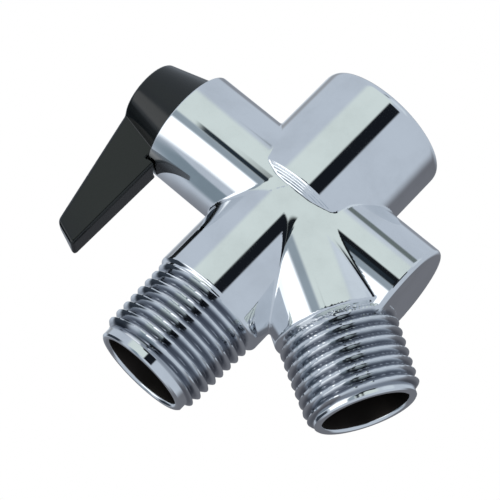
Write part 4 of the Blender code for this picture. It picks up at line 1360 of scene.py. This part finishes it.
@dataclass(frozen=True)
class Studio:
    """Plain pale floor and a light tent with a few cards, which chrome mirrors."""

    tent: tuple[float, float, float] = (0.52, 0.58, 0.66)
    seen: float = 1.0            # brightness of the backdrop that the camera sees
    floor_height: float = -0.26
    floor_size: float = 6.0
    cards: tuple[Card, ...] = (
        Card(20.0, -8.0, 44.0, 46.0, 26.0, (0.165, 0.172, 0.195)),
        Card(-22.0, 20.0, 13.0, 11.0, 9.0, (0.62, 0.67, 0.73)),
        Card(-20.0, 42.0, 18.0, 12.0, 12.0, (0.27, 0.29, 0.33)),
        Card(-48.0, 17.0, 9.0, 14.0, 12.0, (0.33, 0.35, 0.38)),
        Card(-156.0, 16.0, 25.0, 27.0, 11.0, (0.68, 0.76, 0.745)),
        Card(172.0, 56.0, 26.0, 14.0, 12.0, (0.64, 0.71, 0.78)),
        Card(-136.0, -39.0, 37.0, 18.0, 7.0, (1.35, 1.40, 1.44)),
        Card(-156.0, -15.0, 20.0, 6.0, 5.0, (0.30, 0.36, 0.41)),
        Card(-60.0, -73.0, 62.0, 11.0, 10.0, (0.22, 0.28, 0.33)),
        Card(-61.0, -32.0, 27.0, 15.0, 10.0, (0.035, 0.045, 0.060)),
        Card(171.0, 8.0, 11.0, 20.0, 4.0, (0.008, 0.010, 0.014)),
        Card(-171.0, -1.0, 7.5, 8.5, 3.5, (0.008, 0.010, 0.013)),
        Card(-163.0, -5.0, 6.0, 4.0, 3.0, (0.02, 0.03, 0.04)),
        Card(-159.0, 55.0, 7.0, 5.0, 4.0, (0.15, 0.18, 0.18)),
    )

    @staticmethod
    def card_group() -> bpy.types.NodeTree:
        """Mask of one card: how far a direction lies inside its width and height, edges softened."""
        group, tree, start, end = new_group(
            "card", [("Azimuth", "Float", 0), ("Height", "Float", 0), ("At", "Float", 0), ("Up", "Float", 0),
                     ("Width", "Float", 0), ("Tall", "Float", 0), ("Soft", "Float", 0)], [("Mask", "Float")])
        azimuth, height, at, up, width, tall, soft = start.outputs[:7]
        across = tree.math("WRAP", tree.math("SUBTRACT", azimuth, at), -180.0, 180.0)
        sides = []
        for off, half in ((across, width), (tree.math("SUBTRACT", height, up), tall)):
            inset = tree.math("SUBTRACT", half, tree.math("ABSOLUTE", off))
            share = tree.math("ADD", tree.math("DIVIDE", inset, soft), 0.5)
            sides.append(tree.ramp(share, 0.0, 1.0))
        group.links.new(tree.math("MULTIPLY", *sides), end.inputs[0])
        return group

    def tent_light(self) -> None:
        """World light: the tent and its cards for everything but the camera, which sees plain white."""
        world = bpy.data.worlds.new("light_tent")
        world.use_nodes = True
        bpy.context.scene.world = world
        tree = Tree(world.node_tree)
        split = tree.add("SeparateXYZ", {0: tree.add("TexCoord").outputs["Generated"]})
        x, y, z = split.outputs
        azimuth = tree.math("DEGREES", tree.math("ARCTAN2", x, y))
        height = tree.math("DEGREES", tree.math("ARCSINE", z))
        card = self.card_group()
        color: object = (*self.tent, 1.0)
        for item in self.cards:
            numbers = (item.azimuth, item.height, item.half_width, item.half_height, item.soft)
            mask = tree.add("Group", {}, node_tree=card)
            for socket, value in zip(mask.inputs, (azimuth, height)):
                tree.tree.links.new(value, socket)
            for socket, value in zip(list(mask.inputs)[2:], numbers):
                socket.default_value = value
            color = tree.mix(mask.outputs[0], color, (*item.color, 1.0))
        tent = tree.add("Background", {0: color, 1: 1.0})
        plain = tree.add("Background", {0: (1.0, 1.0, 1.0, 1.0), 1: self.seen})
        chosen = tree.add("MixShader", {0: tree.add("LightPath").outputs["Is Camera Ray"],
                                        1: tent.outputs[0], 2: plain.outputs[0]})
        tree.tree.links.new(chosen.outputs[0], tree.add("OutputWorld").inputs[0])

    def floor(self) -> None:
        """Pale floor, well under the object, a flat square with a faint mottle."""
        half, height = self.floor_size / 2.0, self.floor_height
        mesh = bpy.data.meshes.new("studio_floor")
        mesh.from_pydata([(-half, -half, height), (half, -half, height), (half, half, height),
                          (-half, half, height)], [], [(0, 1, 2, 3)])
        made = bpy.data.materials.new("pale_floor")
        made.use_nodes = True
        tree = Tree(made.node_tree)
        mottle = tree.add("TexNoise", {"Vector": tree.add("TexCoord").outputs["Object"], "Scale": 3.0})
        color = tree.mix(mottle.outputs[0], (0.86, 0.86, 0.86, 1.0), (0.90, 0.90, 0.90, 1.0))
        shader = tree.add("BsdfPrincipled", {"Base Color": color, "Roughness": 0.9})
        tree.tree.links.new(shader.outputs[0], tree.add("OutputMaterial").inputs[0])
        mesh.materials.append(made)
        obj = bpy.data.objects.new("studio_floor", mesh)
        obj.visible_glossy = False
        bpy.context.scene.collection.objects.link(obj)

    def build(self) -> None:
        """Sets up light and floor."""
        bpy.context.scene.view_settings.view_transform = "Standard"
        self.tent_light()
        self.floor()


@dataclass(frozen=True)
class Camera:
    """A long lens looking slightly up at the valve, which leans to the left in view."""

    place: tuple[float, float, float] = (0.081388, -0.287349, -0.123206)
    right: tuple[float, float, float] = (0.7408436, 0.0049518, 0.6716593)
    down: tuple[float, float, float] = (0.6170005, 0.3901693, -0.6834312)
    ahead: tuple[float, float, float] = (-0.2654451, 0.9207298, 0.2859992)
    lens: float = 129.385
    sensor: float = 36.0

    def build(self) -> None:
        """Makes the camera and gives it to the scene."""
        data = bpy.data.cameras.new("camera")
        data.lens = self.lens
        data.sensor_width = self.sensor
        data.clip_start = 0.01
        obj = bpy.data.objects.new("camera", data)
        turn = Matrix((Vector(self.right), -Vector(self.down), -Vector(self.ahead))).transposed()
        obj.matrix_world = Matrix.Translation(self.place) @ turn.to_4x4()
        bpy.context.scene.collection.objects.link(obj)
        bpy.context.scene.camera = obj


def dress_solids(finishes: dict[str, bpy.types.Material]) -> None:
    """Gives each solid that is still shown its finish.

    Args:
        finishes: material for each of the record's slots.
    """
    slots = {part["node"]: part["material_slot"] for part in frame["record"]["subparts"]}
    for name, obj in frame["nodes"].items():
        if obj.hide_render:
            continue
        slot = slots[name]
        obj.data.materials.clear()
        obj.data.materials.append(finishes[slot])
        log.info("%s: solid kept, finish %s", name, slot)


def main() -> None:
    """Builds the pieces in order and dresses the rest."""
    logging.basicConfig(level=logging.INFO, format="%(message)s")
    wear, grain = wear_group(), grain_group()
    finishes = {
        Slot.CHROME.value: CHROME.material(wear),
        Slot.PLASTIC.value: BLACK.material(grain),
        Slot.BRASS.value: BRASS.material(wear),
        Slot.STEEL.value: STEEL.material(wear),
        Slot.RUBBER.value: RUBBER.material(grain),
        Slot.WHITE.value: NYLON.material(grain),
    }
    small = SmallPieces()
    pieces = [
        CastBody().piece(finishes[Slot.CHROME.value]),
        Lever().piece(finishes[Slot.PLASTIC.value]),
        small.cap(finishes[Slot.PLASTIC.value]),
        small.inlet_washer(finishes[Slot.RUBBER.value]),
        small.oring("stem_oring_outer", finishes[Slot.RUBBER.value]),
        small.oring("stem_oring_inner", finishes[Slot.RUBBER.value]),
        small.spring("straight_seal_spring", finishes[Slot.STEEL.value]),
        small.spring("angled_seal_spring", finishes[Slot.STEEL.value]),
    ]
    for piece in pieces:
        piece.put()
    dress_solids(finishes)
    Studio().build()
    Camera().build()


if __name__ == "__main__":
    main()
